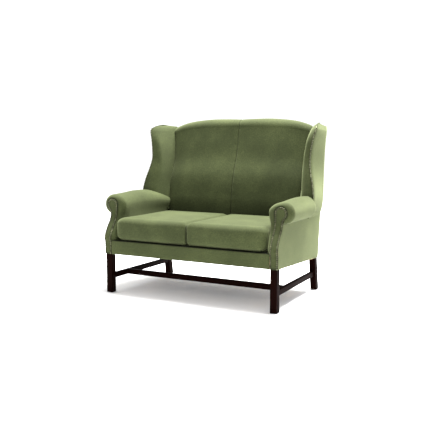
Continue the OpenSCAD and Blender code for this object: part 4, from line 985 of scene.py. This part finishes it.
def legPieces(side, sign):
    w, s = wood, wood["side"]
    left, right, front = w["frontOuter"] - s, w["frontOuter"], w["frontFace"]
    prism("frontLeg_" + side, "leg_front_" + side,
          levelCorners(left, right, front, front + s, w["foot"], sign),
          levelCorners(left, right, front, front + s, w["frontTop"], sign))
    left, right = w["rearOuter"] - s, w["rearOuter"]
    top = float(rearAt(body["rearLegTop"])) - body["coverGap"]
    foot = top + w["rake"]
    prism("rearLeg_" + side, "leg_rear_" + side,
          levelCorners(left, right, foot - s, foot, w["foot"], sign),
          levelCorners(left, right, top - s, top, body["rearLegTop"], sign))
    # The bar runs from the front leg to the raked face of the rear leg
    start = front + s - w["sunk"]
    middle = (w["barLow"] + w["barHigh"]) / 2
    end = mix(foot, top, middle / body["rearLegTop"]) - s + w["sunk"]
    outer = np.array([halfAt(start), halfAt(end)]) - w["barSet"]
    inner = outer - w["barWide"]
    prism("sideStretcher_" + side, "stretcher_" + side,
          levelCorners(inner, outer, start, end + w["barRake"], w["barLow"], sign),
          levelCorners(inner, outer, start, end - w["barRake"], w["barHigh"], sign))


pair(legPieces)
near, far = wood["centreFront"], wood["centreFront"] + wood["barWide"]
half = float(halfAt(near)) - wood["barSet"] - wood["barWide"] + wood["sunk"]
prism("centreStretcher", "stretcher_centre",
      levelCorners(-half, half, near, far, wood["barLow"]),
      levelCorners(-half, half, near, far, wood["barHigh"]))
print("legs made")

# Floor, light and camera, in metres and watts
stage = {
    "floor": 200.0, "paint": (0.97, 0.97, 0.97, 1), "paintRough": 0.75, "world": 1.2, "key": 1250.0,
    "keyAt": (0.6, 0.9, 4.7), "keyAim": (0, 0, 0.6), "keySize": (2.6, 2.2),
    "eye": (2.001, -3.743, 0.972), "aim": (0, 0.020, 0.4736), "focalPixels": 656.7, "pixels": 436,
    "sensor": 36,
}
floorMesh = bpy.data.meshes.new("floor")
size = stage["floor"]
floorMesh.from_pydata([(-size, -size, 0), (size, -size, 0), (size, size, 0), (-size, size, 0)], [],
                      [(0, 1, 2, 3)])
floor = bpy.data.objects.new("floor", floorMesh)
bpy.context.scene.collection.objects.link(floor)
floorPaint, _, _, floorShader = newMaterial("floorPaint")
floorShader.inputs["Base Color"].default_value = stage["paint"]
floorShader.inputs["Roughness"].default_value = stage["paintRough"]
floorMesh.materials.append(floorPaint)

world = bpy.data.worlds.new("studio")
bpy.context.scene.world = world
world.use_nodes = True
world.node_tree.nodes["Background"].inputs[0].default_value = (1, 1, 1, 1)
world.node_tree.nodes["Background"].inputs[1].default_value = stage["world"]


def aimed(name, data, at, aim):
    ob = bpy.data.objects.new(name, data)
    bpy.context.scene.collection.objects.link(ob)
    ob.location = at
    ob.rotation_euler = (Vector(aim) - Vector(at)).to_track_quat("-Z", "Y").to_euler()
    return ob


keyData = bpy.data.lights.new("keyLight", "AREA")
keyData.shape = "RECTANGLE"
keyData.size, keyData.size_y = stage["keySize"]
keyData.energy = stage["key"]
aimed("keyLight", keyData, stage["keyAt"], stage["keyAim"])

cameraData = bpy.data.cameras.new("camera")
cameraData.sensor_width = stage["sensor"]
cameraData.lens = stage["focalPixels"] / stage["pixels"] * stage["sensor"]
bpy.context.scene.camera = aimed("camera", cameraData, stage["eye"], stage["aim"])
bpy.context.scene.view_settings.view_transform = "Standard"

print("stage made")
